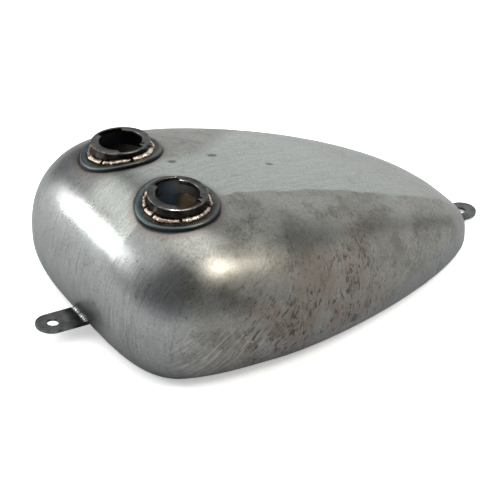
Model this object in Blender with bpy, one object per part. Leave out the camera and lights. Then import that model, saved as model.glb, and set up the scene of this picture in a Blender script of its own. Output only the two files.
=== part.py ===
"""Twin-cap, one-piece teardrop fuel tank of bare welded steel sheet.

The nose is at X = 0 of the profile functions and the tail at X = TANK_LENGTH.  In the model
+X runs to the tail, +Y to the rider's right and +Z up, with the base on Z = 0 and the
origin under the middle of the whole tank, mounting tabs included.  Units are metres.
"""

import math

import bmesh
import bpy
from mathutils import Matrix, Vector

# ---- driving dimensions -------------------------------------------------------------
CLEARANCE = 0.0003          # gap between pieces that touch
SHEET = 0.0015              # steel sheet of shell, floor and channel

TANK_LENGTH = 0.475
HALF_WIDTH = 0.1696
CROWN_HEIGHT = 0.1627
WIDEST_X = 0.1487           # station of the greatest width
CROWN_X = 0.1026            # station of the greatest height
NOSE_BELT = 0.0611          # height of the widest line at the nose
TAIL_BELT = 0.0019          # height of the widest line at the tail
CHIN_LENGTH = 0.0542        # how far the chin sweeps back under the nose
BELLY_DEPTH = 0.013         # depth of the belly curve under the flat base
BELLY_RISE = 0.0135         # how much the belly curve climbs by the tail
BELLY_RISE_X = 0.227        # station where that climb begins
HEEL_X = 0.3116             # station where the tail starts to sweep up
EDGE_ROLL = 0.004           # half height of the roll from belly curve to flat base

NOSE_PLAN_POWER = 3.53
TAIL_PLAN_POWER = 1.22
TAIL_PLAN_ROUND = 0.484
SHOULDER_SOFTNESS = 0.08
NOSE_TOP_POWER = 2.04
TAIL_TOP_POWER = 1.73
TAIL_TOP_ROUND = 0.529
CHIN_POWER = 2.0
HEEL_POWER = 2.2
BELLY_RISE_POWER = 1.5
# section exponents as (nose, tail) pairs
UPPER_ACROSS = (2.915, 3.061)
UPPER_UP = (2.196, 3.198)
LOWER_ACROSS = (3.304, 2.522)
LOWER_DOWN = (2.874, 1.943)

SEAM_WIDTH = 0.005          # ground centre weld

FILLER_X = 0.0884           # filler axis behind the nose
FILLER_Y = 0.0595           # filler axis from the centre line
FILLER_LEAN_FORWARD = 1.37  # degrees
FILLER_LEAN_OUT = 3.25      # degrees
NECK_HEIGHT = 0.0096        # lip above the shell on the axis
NECK_DEPTH = 0.010          # neck below the shell on the axis
NECK_RADIUS = 0.0293
NECK_WALL = 0.0015
LIP_OVERHANG = 0.0012       # rolled lip past the neck wall
LIP_FLANGE = 0.0055         # flange that the lip turns in past the neck bore
LIP_DEPTH = 0.0024
NOTCH_ANGLE = 62.0          # degrees, two opposite cap notches
SADDLE_REACH = 0.0137       # saddle ring past the neck wall
SADDLE_CROWN = 0.0037
BRAZE_REACH = 0.0047        # braze fillet past the neck wall
BRAZE_HEIGHT = 0.0062

TUNNEL_HALF_WIDTH = 0.022
TUNNEL_DEPTH_FRONT = 0.0085
TUNNEL_DEPTH_REAR = 0.0002
TUNNEL_POWER = 3.5
TUNNEL_RUNOUT = 0.008       # channel past the floor opening at the tail

LIP_WIDTH = 0.013           # flat base lip left around the floor opening
FLOOR_LAP = 0.005           # floor pan over that lip
BEAD = 0.0026               # leg of the underside weld beads

TAB_THICKNESS = 0.003
TAB_HOLE = 0.0125
TAB_HOLE_FROM_TIP = 0.0185
FRONT_TAB_WIDTH = 0.0337
FRONT_TAB_LENGTH = 0.0517
FRONT_TAB_HEIGHT = 0.0161   # middle plane above the base at the root
FRONT_TAB_PITCH = 1.4       # degrees, tip up
REAR_TAB_WIDTH = 0.033
REAR_TAB_LENGTH = 0.0275
REAR_TAB_HEIGHT = 0.0043
TAB_BEAD = 0.0032

BUNG_X = 0.300
BUNG_ACROSS = 0.5114        # bung axis across the pan, from the channel bead to the edge bead
BUNG_BORE = 0.00725
BUNG_WALL = 0.00525
BUNG_HEIGHT = 0.014

SECTION_STEPS = 22          # facets from spine to keel on one side
NOSE_RINGS = 11
TAIL_RINGS = 17
NECK_STEPS = 48
ROUND_STEPS = 32
CHANNEL_STEPS = 24
OUTLINE_STEPS = 36

STEEL = (0.42, 0.41, 0.39)
DARK_STEEL = (0.13, 0.13, 0.14)
BRASS = (0.62, 0.50, 0.30)

# ---- profile functions, all from the nose --------------------------------------------


def blend(pair, x):
    """Value of a (nose, tail) pair at station x."""
    return pair[0] + (pair[1] - pair[0]) * x / TANK_LENGTH


def power_arc(u, power, root):
    return max(1.0 - min(max(u, 0.0), 1.0) ** power, 0.0) ** root


def soften(u):
    """Run from 0 to 1 that starts level, so the side has no corner at its widest."""
    top = math.sqrt(1.0 + SHOULDER_SOFTNESS ** 2) - SHOULDER_SOFTNESS
    return (math.sqrt(u * u + SHOULDER_SOFTNESS ** 2) - SHOULDER_SOFTNESS) / top


def unsoften(v):
    top = math.sqrt(1.0 + SHOULDER_SOFTNESS ** 2) - SHOULDER_SOFTNESS
    return math.sqrt((v * top + SHOULDER_SOFTNESS) ** 2 - SHOULDER_SOFTNESS ** 2)


def half_width(x):
    if x < WIDEST_X:
        u = (WIDEST_X - x) / WIDEST_X
        return HALF_WIDTH * power_arc(u, NOSE_PLAN_POWER, 1.0 / NOSE_PLAN_POWER)
    u = soften((x - WIDEST_X) / (TANK_LENGTH - WIDEST_X))
    return HALF_WIDTH * power_arc(u, TAIL_PLAN_POWER, TAIL_PLAN_ROUND)


def belt(x):
    """Height of the widest line."""
    return blend((NOSE_BELT, TAIL_BELT), x)


def spine(x):
    """Height of the top centre line."""
    rise = CROWN_HEIGHT - belt(CROWN_X)
    if x < CROWN_X:
        u = (CROWN_X - x) / CROWN_X
        return belt(x) + rise * power_arc(u, NOSE_TOP_POWER, 1.0 / NOSE_TOP_POWER)
    u = (x - CROWN_X) / (TANK_LENGTH - CROWN_X)
    return belt(x) + rise * power_arc(u, TAIL_TOP_POWER, TAIL_TOP_ROUND)


def belly(x):
    """Height of the belly curve on the centre line, before it is flattened on the base."""
    climb = max(x - BELLY_RISE_X, 0.0) / (TANK_LENGTH - BELLY_RISE_X)
    low = -BELLY_DEPTH + BELLY_RISE * climb ** BELLY_RISE_POWER
    full = 1.0
    if x < CHIN_LENGTH:
        full = power_arc((CHIN_LENGTH - x) / CHIN_LENGTH, CHIN_POWER, 1.0 / CHIN_POWER)
    elif x > HEEL_X:
        full = power_arc((x - HEEL_X) / (TANK_LENGTH - HEEL_X), HEEL_POWER, 1.0 / HEEL_POWER)
    return belt(x) - (belt(x) - low) * full


def settle(z):
    """Rolls a height smoothly onto the flat base."""
    if z > EDGE_ROLL:
        return z
    return max(z + EDGE_ROLL, 0.0) ** 2 / (4.0 * EDGE_ROLL)


SEAM_EDGE = SEAM_WIDTH / 2.0 + CLEARANCE


def skin_point(x, angle):
    """Point of the right half's outer skin; angle is 90 at the spine and -90 at the keel."""
    reach = max(half_width(x), SEAM_EDGE) - SEAM_EDGE
    across = max(math.cos(math.radians(angle)), 0.0)
    upward = math.sin(math.radians(angle))
    if angle >= 0.0:
        y = reach * across ** (2.0 / blend(UPPER_ACROSS, x))
        z = belt(x) + (spine(x) - belt(x)) * upward ** (2.0 / blend(UPPER_UP, x))
    else:
        y = reach * across ** (2.0 / blend(LOWER_ACROSS, x))
        z = belt(x) - (belt(x) - belly(x)) * (-upward) ** (2.0 / blend(LOWER_DOWN, x))
    return Vector((x, SEAM_EDGE + y, settle(z)))


def share_across(x, y):
    reach = max(half_width(x) - SEAM_EDGE, 1e-6)
    return min(max(abs(y) - SEAM_EDGE, 0.0) / reach, 1.0)


def top_height(x, y):
    rise = power_arc(share_across(x, y), blend(UPPER_ACROSS, x), 1.0 / blend(UPPER_UP, x))
    return belt(x) + (spine(x) - belt(x)) * rise


def under_height(x, y):
    drop = power_arc(share_across(x, y), blend(LOWER_ACROSS, x), 1.0 / blend(LOWER_DOWN, x))
    return settle(belt(x) - (belt(x) - belly(x)) * drop)


def inside(x, y, z):
    if abs(y) >= half_width(x):
        return False
    return under_height(x, y) <= z <= top_height(x, y)


def face_station(y, z, outer_x, inner_x):
    """Station where a line along X at (y, z) meets the skin, between outside and inside."""
    for _ in range(40):
        middle = (outer_x + inner_x) / 2.0
        if inside(middle, y, z):
            inner_x = middle
        else:
            outer_x = middle
    return outer_x


def nose_face(y, z):
    return face_station(y, z, 0.0, WIDEST_X)


def tail_face(y, z):
    return face_station(y, z, TANK_LENGTH, WIDEST_X)


# Model origin: under the middle of the tank with its tabs.
FRONT_TIP = nose_face(0.0, FRONT_TAB_HEIGHT) - FRONT_TAB_LENGTH
REAR_TIP = tail_face(0.0, REAR_TAB_HEIGHT) + REAR_TAB_LENGTH
ORIGIN_X = (FRONT_TIP + REAR_TIP) / 2.0
SHIFT = Matrix.Translation((-ORIGIN_X, 0.0, 0.0))

# ---- scene helpers -------------------------------------------------------------------


def clear_scene():
    for obj in list(bpy.data.objects):
        bpy.data.objects.remove(obj, do_unlink=True)


def material(name, colour, roughness, metallic=1.0):
    made = bpy.data.materials.new(name)
    made.use_nodes = True
    shader = made.node_tree.nodes["Principled BSDF"]
    shader.inputs["Base Color"].default_value = (*colour, 1.0)
    shader.inputs["Roughness"].default_value = roughness
    shader.inputs["Metallic"].default_value = metallic
    return made


def add_object(name, bm, colour=STEEL, roughness=0.4, matrix=SHIFT, smooth=True):
    """Turns a bmesh into an object with outward faces and a material of its own."""
    bmesh.ops.remove_doubles(bm, verts=bm.verts, dist=1e-7)
    mesh = bpy.data.meshes.new(name)
    bm.to_mesh(mesh)
    bm.free()
    obj = bpy.data.objects.new(name, mesh)
    bpy.context.scene.collection.objects.link(obj)
    obj.matrix_world = matrix
    mesh.materials.append(material(name + "_steel", colour, roughness))
    if smooth:
        mesh.shade_smooth()
        mesh.set_sharp_from_angle(angle=math.radians(35.0))
    return obj


def add_cutter(name, bm, matrix=SHIFT):
    bmesh.ops.recalc_face_normals(bm, faces=bm.faces)
    obj = add_object(name, bm, matrix=matrix, smooth=False)
    obj.hide_render = True
    obj.display_type = "WIRE"
    return obj


def solidify(obj, thickness, offset):
    mod = obj.modifiers.new("sheet", "SOLIDIFY")
    mod.thickness = thickness
    mod.offset = offset


def cut(obj, cutter):
    mod = obj.modifiers.new("cut_" + cutter.name, "BOOLEAN")
    mod.operation = "DIFFERENCE"
    mod.solver = "EXACT"
    mod.object = cutter


def loft(rows, closed_rows=False, closed_rings=False):
    """Body through rows of points; each row closes on itself if closed_rings is set."""
    bm = bmesh.new()
    grid = [[bm.verts.new(point) for point in row] for row in rows]
    count = len(grid[0])
    last_row = len(grid) if closed_rows else len(grid) - 1
    last_column = count if closed_rings else count - 1
    for i in range(last_row):
        for j in range(last_column):
            a, b = grid[i][j], grid[i][(j + 1) % count]
            c, d = grid[(i + 1) % len(grid)][(j + 1) % count], grid[(i + 1) % len(grid)][j]
            bm.faces.new((a, b, c, d))
    if closed_rings and not closed_rows:
        bm.faces.new(reversed(grid[0]))
        bm.faces.new(grid[-1])
    return bm


def closed_body(rows, closed_rows=False):
    bm = loft(rows, closed_rows=closed_rows, closed_rings=True)
    bmesh.ops.recalc_face_normals(bm, faces=bm.faces)
    return bm


def plate(outline, low, high):
    """Flat plate with a plan outline, between two heights."""
    bm = bmesh.new()
    face = bm.faces.new([bm.verts.new((x, y, low)) for x, y in outline])
    grown = bmesh.ops.extrude_face_region(bm, geom=[face])
    raised = [item for item in grown["geom"] if isinstance(item, bmesh.types.BMVert)]
    bmesh.ops.translate(bm, verts=raised, vec=(0.0, 0.0, high - low))
    bmesh.ops.recalc_face_normals(bm, faces=bm.faces)
    return bm


# ---- shell halves and centre weld ----------------------------------------------------


def ring_stations():
    """Stations of the skin's rings, close together where the plan turns quickly."""
    stations = []
    for i in range(1, NOSE_RINGS):
        wide = math.sin(math.radians(90.0 * i / NOSE_RINGS))
        u = power_arc(wide, NOSE_PLAN_POWER, 1.0 / NOSE_PLAN_POWER)
        stations.append(WIDEST_X * (1.0 - u))
    for i in range(TAIL_RINGS):
        wide = math.cos(math.radians(90.0 * i / TAIL_RINGS))
        v = (1.0 - wide ** (1.0 / TAIL_PLAN_ROUND)) ** (1.0 / TAIL_PLAN_POWER)
        stations.append(WIDEST_X + unsoften(v) * (TANK_LENGTH - WIDEST_X))
    return stations


def half_shell(side):
    """Open skin of one half, its faces outward."""
    bm = bmesh.new()
    flip = Matrix.Diagonal((1.0, side, 1.0)).to_4x4()
    nose = bm.verts.new(flip @ skin_point(0.0, 0.0))
    tail = bm.verts.new(flip @ skin_point(TANK_LENGTH, 0.0))
    angles = [90.0 - 180.0 * j / SECTION_STEPS for j in range(SECTION_STEPS + 1)]
    rings = [[bm.verts.new(flip @ skin_point(x, a)) for a in angles] for x in ring_stations()]
    for j in range(SECTION_STEPS):
        bm.faces.new((nose, rings[0][j], rings[0][j + 1]))
        bm.faces.new((tail, rings[-1][j + 1], rings[-1][j]))
        for fore, aft in zip(rings, rings[1:]):
            bm.faces.new((fore[j], aft[j], aft[j + 1], fore[j + 1]))
    if side < 0:
        bmesh.ops.reverse_faces(bm, faces=bm.faces)
    return bm


def centre_seam():
    """Strip all round the centre line between the two halves."""
    stations = ring_stations()
    over = [(0.0, belt(0.0))] + [(x, spine(x)) for x in stations]
    under = [(TANK_LENGTH, belt(TANK_LENGTH))] + [(x, belly(x)) for x in reversed(stations)]
    rows = []
    for x, z in over + under:
        rows.append([(x, y, settle(z)) for y in (SEAM_WIDTH / 2.0, 0.0, -SEAM_WIDTH / 2.0)])
    return loft(rows, closed_rows=True)


# ---- base opening, floor and channel -------------------------------------------------


def flat_start(inner_x, outer_x):
    """Station where the belly curve reaches the flat base, between flat and not flat."""
    for _ in range(40):
        middle = (inner_x + outer_x) / 2.0
        if belly(middle) < -EDGE_ROLL:
            inner_x = middle
        else:
            outer_x = middle
    return inner_x


FLAT_FRONT = flat_start(BELLY_RISE_X, 0.0)
FLAT_REAR = flat_start(BELLY_RISE_X, TANK_LENGTH)


def flat_half_width(x):
    down = (belt(x) + EDGE_ROLL) / (belt(x) - belly(x))
    share = power_arc(down, blend(LOWER_DOWN, x), 1.0 / blend(LOWER_ACROSS, x))
    return SEAM_EDGE + (half_width(x) - SEAM_EDGE) * share


FLAT_CONTOUR = []
for step in range(OUTLINE_STEPS + 1):
    swing = (1.0 - math.cos(math.pi * step / OUTLINE_STEPS)) / 2.0
    station = FLAT_FRONT + (FLAT_REAR - FLAT_FRONT) * swing
    FLAT_CONTOUR.append((station, flat_half_width(station)))
FLAT_WIDEST = max(y for x, y in FLAT_CONTOUR)


def base_outline(inset):
    """Right half of the flat base's outline, drawn in by an inset, from front to rear."""
    middle = (FLAT_FRONT + FLAT_REAR) / 2.0
    along = (FLAT_REAR - FLAT_FRONT - 2.0 * inset) / (FLAT_REAR - FLAT_FRONT)
    across = (FLAT_WIDEST - inset) / FLAT_WIDEST
    return [(middle + (x - middle) * along, y * across) for x, y in FLAT_CONTOUR]


def clip_outline(outline, inner_y):
    """Part of a half outline beyond inner_y, with its ends on that line."""
    kept = []
    for (x0, y0), (x1, y1) in zip(outline, outline[1:]):
        if y0 >= inner_y:
            kept.append((x0, y0))
        if (y0 - inner_y) * (y1 - inner_y) < 0.0:
            share = (inner_y - y0) / (y1 - y0)
            kept.append((x0 + (x1 - x0) * share, inner_y))
    return kept


def resample(points, count):
    """Points evenly spaced along a polyline."""
    lengths = [0.0]
    for (x0, y0), (x1, y1) in zip(points, points[1:]):
        lengths.append(lengths[-1] + math.hypot(x1 - x0, y1 - y0))
    spaced = []
    segment = 0
    for i in range(count):
        target = lengths[-1] * i / (count - 1)
        while segment < len(points) - 2 and lengths[segment + 1] < target:
            segment += 1
        share = (target - lengths[segment]) / (lengths[segment + 1] - lengths[segment])
        (x0, y0), (x1, y1) = points[segment], points[segment + 1]
        spaced.append((x0 + (x1 - x0) * share, y0 + (y1 - y0) * share))
    return spaced


CHANNEL_EDGE = TUNNEL_HALF_WIDTH + SHEET + CLEARANCE   # where floor pans and beads begin
FLOOR_LOW = SHEET + CLEARANCE
FLOOR_HIGH = FLOOR_LOW + SHEET
BEAD_TOP = FLOOR_LOW - CLEARANCE
BEAD_LOW = CLEARANCE
OPENING_REAR = base_outline(LIP_WIDTH)[-1][0]
CHANNEL_REAR = OPENING_REAR + TUNNEL_RUNOUT


def channel_depth(x):
    front = nose_face(0.0, TUNNEL_DEPTH_FRONT)
    share = min(max((x - front) / (CHANNEL_REAR - front), 0.0), 1.0)
    return TUNNEL_DEPTH_FRONT + (TUNNEL_DEPTH_REAR - TUNNEL_DEPTH_FRONT) * share


def arch(angle, half, depth):
    """Point of the channel's section, angle 0 at the right foot and 180 at the left."""
    across = math.cos(math.radians(angle))
    upward = max(math.sin(math.radians(angle)), 0.0)
    y = math.copysign(abs(across) ** (2.0 / TUNNEL_POWER), across) * half
    return y, depth * upward ** (2.0 / TUNNEL_POWER)


def channel():
    """Underside of the frame channel, from the chin to its run-out under the tail."""
    rows = []
    for i in range(CHANNEL_STEPS + 1):
        angle = 180.0 * i / CHANNEL_STEPS
        y, z = arch(angle, TUNNEL_HALF_WIDTH, TUNNEL_DEPTH_FRONT)
        front = nose_face(y, z + CLEARANCE) - CLEARANCE
        row = []
        for j in range(13):
            x = front + (CHANNEL_REAR - front) * j / 12
            y, z = arch(angle, TUNNEL_HALF_WIDTH, channel_depth(x))
            row.append((x, y, CLEARANCE + z))
        rows.append(row)
    return loft(rows)


def channel_cutter():
    """Room for the channel through the chin and the base lip."""
    rows = []
    foot = SHEET + 2.0 * CLEARANCE
    start = -0.02
    for i in range(14):
        x = start + (CHANNEL_REAR + CLEARANCE - start) * i / 13
        depth = channel_depth(x)
        section = [arch(180.0 * k / CHANNEL_STEPS, CHANNEL_EDGE, depth)
                   for k in range(CHANNEL_STEPS + 1)]
        rows.append([(x, CHANNEL_EDGE, start)] + [(x, y, foot + z) for y, z in section]
                    + [(x, -CHANNEL_EDGE, start)])
    return closed_body(rows)


def opening_cutter():
    outline = base_outline(LIP_WIDTH)
    mirrored = [(x, -y) for x, y in reversed(outline)]
    return plate(outline + mirrored, -0.01, SHEET + 0.001)


def floor_pan(side):
    outline = clip_outline(base_outline(LIP_WIDTH - FLOOR_LAP), CHANNEL_EDGE)
    return plate([(x, y * side) for x, y in outline], FLOOR_LOW, FLOOR_HIGH)


def floor_bead(side):
    """Bead in the corner of the floor pan and the base lip."""
    steps = 40
    near = resample(clip_outline(base_outline(LIP_WIDTH + CLEARANCE), CHANNEL_EDGE), steps)
    far = resample(clip_outline(base_outline(LIP_WIDTH + CLEARANCE + BEAD), CHANNEL_EDGE), steps)
    rows = []
    for (x0, y0), (x1, y1) in zip(near, far):
        xm, ym = x0 + (x1 - x0) * 0.6, y0 + (y1 - y0) * 0.6
        low = BEAD_LOW + (BEAD_TOP - BEAD_LOW) * 0.4
        rows.append([
            (x0, y0 * side, BEAD_TOP),
            (x0, y0 * side, BEAD_LOW),
            (xm, ym * side, low),
            (x1, y1 * side, BEAD_TOP),
        ])
    return closed_body(rows)


def channel_bead(side):
    """Bead in the corner of the floor pan and the channel wall."""
    outer = CHANNEL_EDGE + BEAD
    run = clip_outline(base_outline(LIP_WIDTH + CLEARANCE + BEAD), outer + CLEARANCE)
    front = run[0][0] + CLEARANCE
    rear = run[-1][0] - CLEARANCE
    rows = []
    low = BEAD_LOW + (BEAD_TOP - BEAD_LOW) * 0.4
    for i in range(CHANNEL_STEPS + 1):
        x = front + (rear - front) * i / CHANNEL_STEPS
        rows.append([
            (x, side * CHANNEL_EDGE, BEAD_TOP),
            (x, side * CHANNEL_EDGE, BEAD_LOW),
            (x, side * (CHANNEL_EDGE + BEAD * 0.6), low),
            (x, side * outer, BEAD_TOP),
        ])
    return closed_body(rows)


# ---- petcock bung --------------------------------------------------------------------

BUNG_RADIUS = BUNG_BORE + BUNG_WALL


def outline_width(outline, x):
    """Half width of a half outline at station x."""
    for (x0, y0), (x1, y1) in zip(outline, outline[1:]):
        if x0 <= x <= x1:
            return y0 + (y1 - y0) * (x - x0) / (x1 - x0)
    return 0.0


PAN_START = CHANNEL_EDGE + BEAD
PAN_END = outline_width(base_outline(LIP_WIDTH + CLEARANCE + BEAD), BUNG_X)
BUNG_Y = -(PAN_START + (PAN_END - PAN_START) * BUNG_ACROSS)


def turned(profile):
    """Solid of revolution from (radius, height) pairs."""
    rows = []
    for i in range(ROUND_STEPS):
        turn = 2.0 * math.pi * i / ROUND_STEPS
        rows.append([(r * math.cos(turn), r * math.sin(turn), z) for r, z in profile])
    return closed_body(rows, closed_rows=True)


def bung():
    low = BEAD_LOW
    high = low + BUNG_HEIGHT
    chamfer = 0.0008
    profile = [
        (BUNG_RADIUS, low + chamfer),
        (BUNG_RADIUS, high - chamfer),
        (BUNG_RADIUS - chamfer, high),
        (BUNG_BORE + chamfer, high),
        (BUNG_BORE, high - chamfer),
        (BUNG_BORE, low + chamfer),
        (BUNG_BORE + chamfer, low),
        (BUNG_RADIUS - chamfer, low),
    ]
    return turned(profile)


def bung_bead():
    near = BUNG_RADIUS + CLEARANCE
    profile = [
        (near, BEAD_TOP),
        (near, BEAD_LOW + 0.0004),
        (near + BEAD * 0.6, BEAD_LOW + 0.0006),
        (near + BEAD, BEAD_TOP),
    ]
    return turned(profile)


# ---- filler necks --------------------------------------------------------------------

NECK_BORE = NECK_RADIUS - NECK_WALL
NOTCH_RADIUS = NECK_BORE - CLEARANCE
LIP_RADIUS = NECK_RADIUS + LIP_OVERHANG
LIP_BORE = NECK_BORE - LIP_FLANGE
SADDLE_RADIUS = NECK_RADIUS + SADDLE_REACH
BRAZE_RADIUS = NECK_RADIUS + BRAZE_REACH


def filler_frame(side):
    """Matrix of a filler: origin on the skin, Z along the neck, X to the tail."""
    forward = math.sin(math.radians(FILLER_LEAN_FORWARD))
    outward = math.sin(math.radians(FILLER_LEAN_OUT))
    upward = math.sqrt(1.0 - forward ** 2 - outward ** 2)
    axis = Vector((-forward, side * outward, upward))
    along = Vector((1.0, 0.0, 0.0))
    along = (along - axis * along.dot(axis)).normalized()
    across = axis.cross(along)
    place = Vector((FILLER_X, side * FILLER_Y, top_height(FILLER_X, FILLER_Y)))
    turn = Matrix((along, across, axis)).transposed().to_4x4()
    return Matrix.Translation(place) @ turn


def skin_under(frame, radius, turn):
    """Height of the skin in a filler's frame, at a radius and a turn about its axis."""
    axis = frame.col[2].to_3d()
    start = frame @ Vector((radius * math.cos(turn), radius * math.sin(turn), 0.0))
    drop = 0.0
    for _ in range(12):
        point = start + axis * drop
        drop += (top_height(point.x, point.y) - point.z) / axis.z
    return drop


def notch_bore(degrees):
    """Bore radius of the lip at an angle, wider in the two cap notches."""
    for middle in (90.0, 270.0):
        if abs(degrees - middle) <= NOTCH_ANGLE / 2.0:
            return NOTCH_RADIUS
    return LIP_BORE


def neck_angles():
    """Even steps, with a close pair at each notch edge."""
    turns = {360.0 * i / NECK_STEPS for i in range(NECK_STEPS)}
    for middle in (90.0, 270.0):
        for edge in (middle - NOTCH_ANGLE / 2.0, middle + NOTCH_ANGLE / 2.0):
            turns = {turn for turn in turns if abs(turn - edge) > 2.0}
            turns |= {edge - 0.3, edge + 0.3}
    return sorted(turns)


def filler_neck():
    rows = []
    high = NECK_HEIGHT
    round_off = 0.0008
    for degrees in neck_angles():
        bore = notch_bore(degrees)
        profile = [
            (NECK_RADIUS, -NECK_DEPTH),
            (NECK_RADIUS, high - LIP_DEPTH),
            (LIP_RADIUS, high - LIP_DEPTH + (LIP_RADIUS - NECK_RADIUS) * 0.5),
            (LIP_RADIUS, high - round_off),
            (LIP_RADIUS - round_off, high),
            (bore + round_off * 0.5, high),
            (bore, high - round_off * 0.5),
            (bore, high - SHEET),
            (NECK_BORE, high - SHEET - CLEARANCE),
            (NECK_BORE, -NECK_DEPTH),
        ]
        turn = math.radians(degrees)
        rows.append([(r * math.cos(turn), r * math.sin(turn), z) for r, z in profile])
    return closed_body(rows, closed_rows=True)


def saddle_top(radius):
    """Crown of the pressed saddle ring over the skin."""
    inner = NECK_RADIUS + CLEARANCE
    share = (radius - inner) / (SADDLE_RADIUS - inner)
    return SADDLE_CROWN * (0.62 + 0.38 * math.sin(math.pi * min(share * 1.25, 1.0))) * (
        power_arc(share, 6.0, 0.5))


def saddle(side):
    """Pressed ring that follows the skin round the neck."""
    frame = filler_frame(side)
    inner = NECK_RADIUS + CLEARANCE
    width = SADDLE_RADIUS - inner
    rows = []
    for i in range(NECK_STEPS):
        turn = 2.0 * math.pi * i / NECK_STEPS
        profile = [(inner, CLEARANCE)]
        for share in (0.0, 0.2, 0.4, 0.6, 0.8, 0.93, 1.0):
            radius = inner + width * share
            profile.append((radius, max(saddle_top(radius), CLEARANCE * 2.0)))
        profile.append((SADDLE_RADIUS, CLEARANCE))
        profile.append((inner + width * 0.5, CLEARANCE))
        rows.append([
            (r * math.cos(turn), r * math.sin(turn), skin_under(frame, r, turn) + h)
            for r, h in profile
        ])
    return closed_body(rows, closed_rows=True)


def braze(side):
    """Fillet between the neck wall and the saddle, a little lumpy."""
    frame = filler_frame(side)
    inner = NECK_RADIUS + CLEARANCE
    ceiling = NECK_HEIGHT - LIP_DEPTH - CLEARANCE
    rows = []
    for i in range(NECK_STEPS):
        turn = 2.0 * math.pi * i / NECK_STEPS
        lump = 0.9 + 0.1 * math.sin(9.0 * turn)
        outer = inner + (BRAZE_RADIUS - inner) * lump
        middle = (inner + outer) / 2.0

        def above(radius, height):
            return skin_under(frame, radius, turn) + height

        foot_in = above(inner, saddle_top(inner) + CLEARANCE)
        foot_out = above(outer, saddle_top(outer) + CLEARANCE)
        foot_mid = above(middle, saddle_top(middle) + CLEARANCE)
        head = max(min(above(inner, BRAZE_HEIGHT), ceiling), foot_in + CLEARANCE)
        crown = foot_mid + (head - foot_in) * 0.5
        profile = [(inner, foot_in), (inner, head), (middle, crown), (outer, foot_out + 0.0002),
                   (outer, foot_out), (middle, foot_mid)]
        rows.append([(r * math.cos(turn), r * math.sin(turn), z) for r, z in profile])
    return closed_body(rows, closed_rows=True)


def filler_cutter():
    """Round hole through the shell for a neck."""
    bm = bmesh.new()
    bmesh.ops.create_cone(
        bm, cap_ends=True, segments=NECK_STEPS, radius1=NECK_RADIUS + CLEARANCE,
        radius2=NECK_RADIUS + CLEARANCE, depth=0.03)
    return bm


# ---- mounting tabs -------------------------------------------------------------------


def tab_outline(width, root, length):
    """Plan outline from the root line to a half-round tip, in the tab's own frame."""
    half = width / 2.0
    across = [half * (1.0 - 2.0 * i / 8) for i in range(9)]
    outline = [(root(y), y) for y in across]
    for i in range(17):
        turn = math.radians(-90.0 + 180.0 * i / 16)
        outline.append((length - half + half * math.cos(turn), half * math.sin(turn)))
    return outline


def tab(name, width, root, length, matrix):
    obj = add_object(name, plate(tab_outline(width, root, length), -TAB_THICKNESS / 2.0,
                                 TAB_THICKNESS / 2.0), DARK_STEEL, 0.45, matrix)
    bm = bmesh.new()
    bmesh.ops.create_cone(bm, cap_ends=True, segments=ROUND_STEPS, radius1=TAB_HOLE / 2.0,
                          radius2=TAB_HOLE / 2.0, depth=4.0 * TAB_THICKNESS)
    place = matrix @ Matrix.Translation((length - TAB_HOLE_FROM_TIP, 0.0, 0.0))
    cut(obj, add_cutter(name + "_hole", bm, place))
    return obj


def front_tab_matrix():
    """Frame of the front tab: X out to the tip, Z up, at the root's middle."""
    root = nose_face(0.0, FRONT_TAB_HEIGHT)
    pitch = Matrix.Rotation(math.radians(-FRONT_TAB_PITCH), 4, "Y")
    return SHIFT @ Matrix.Translation((root, 0.0, FRONT_TAB_HEIGHT)) @ Matrix.Rotation(
        math.pi, 4, "Z") @ pitch


def rear_tab_matrix():
    root = tail_face(0.0, REAR_TAB_HEIGHT)
    return SHIFT @ Matrix.Translation((root, 0.0, REAR_TAB_HEIGHT))


def front_root(y):
    """How far out the front tab's root edge stands to clear the chin."""
    top = FRONT_TAB_HEIGHT + TAB_THICKNESS / 2.0 + CLEARANCE
    return nose_face(0.0, FRONT_TAB_HEIGHT) - nose_face(y, top) + CLEARANCE


def rear_root(y):
    low = REAR_TAB_HEIGHT - TAB_THICKNESS / 2.0
    return max(tail_face(y, low), tail_face(y, REAR_TAB_HEIGHT)) - tail_face(
        0.0, REAR_TAB_HEIGHT) + CLEARANCE


def tab_bead(width, height, out, face, phase):
    """Bead across the top of a tab's root; out is -1 at the nose and +1 at the tail."""
    steps = 22
    reach = width / 2.0 - CLEARANCE
    low = height + TAB_THICKNESS / 2.0 + 2.0 * CLEARANCE
    rows = []
    for i in range(steps + 1):
        y = -reach + 2.0 * reach * i / steps
        size = TAB_BEAD * (0.85 + 0.15 * math.sin(i * 1.9 + phase))
        size *= 0.45 + 0.55 * math.sin(math.pi * (i + 1) / (steps + 2)) ** 0.4
        foot = face(y, low) + out * CLEARANCE
        head = face(y, low + size) + out * CLEARANCE
        middle = face(y, low + size * 0.5) + out * CLEARANCE
        rows.append([
            (foot, y, low),
            (middle, y, low + size * 0.5),
            (head, y, low + size),
            (head + out * size * 0.55, y, low + size * 0.8),
            (foot + out * size, y, low + size * 0.35),
            (foot + out * size, y, low),
        ])
    return closed_body(rows)


# ---- assembly ------------------------------------------------------------------------


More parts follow.
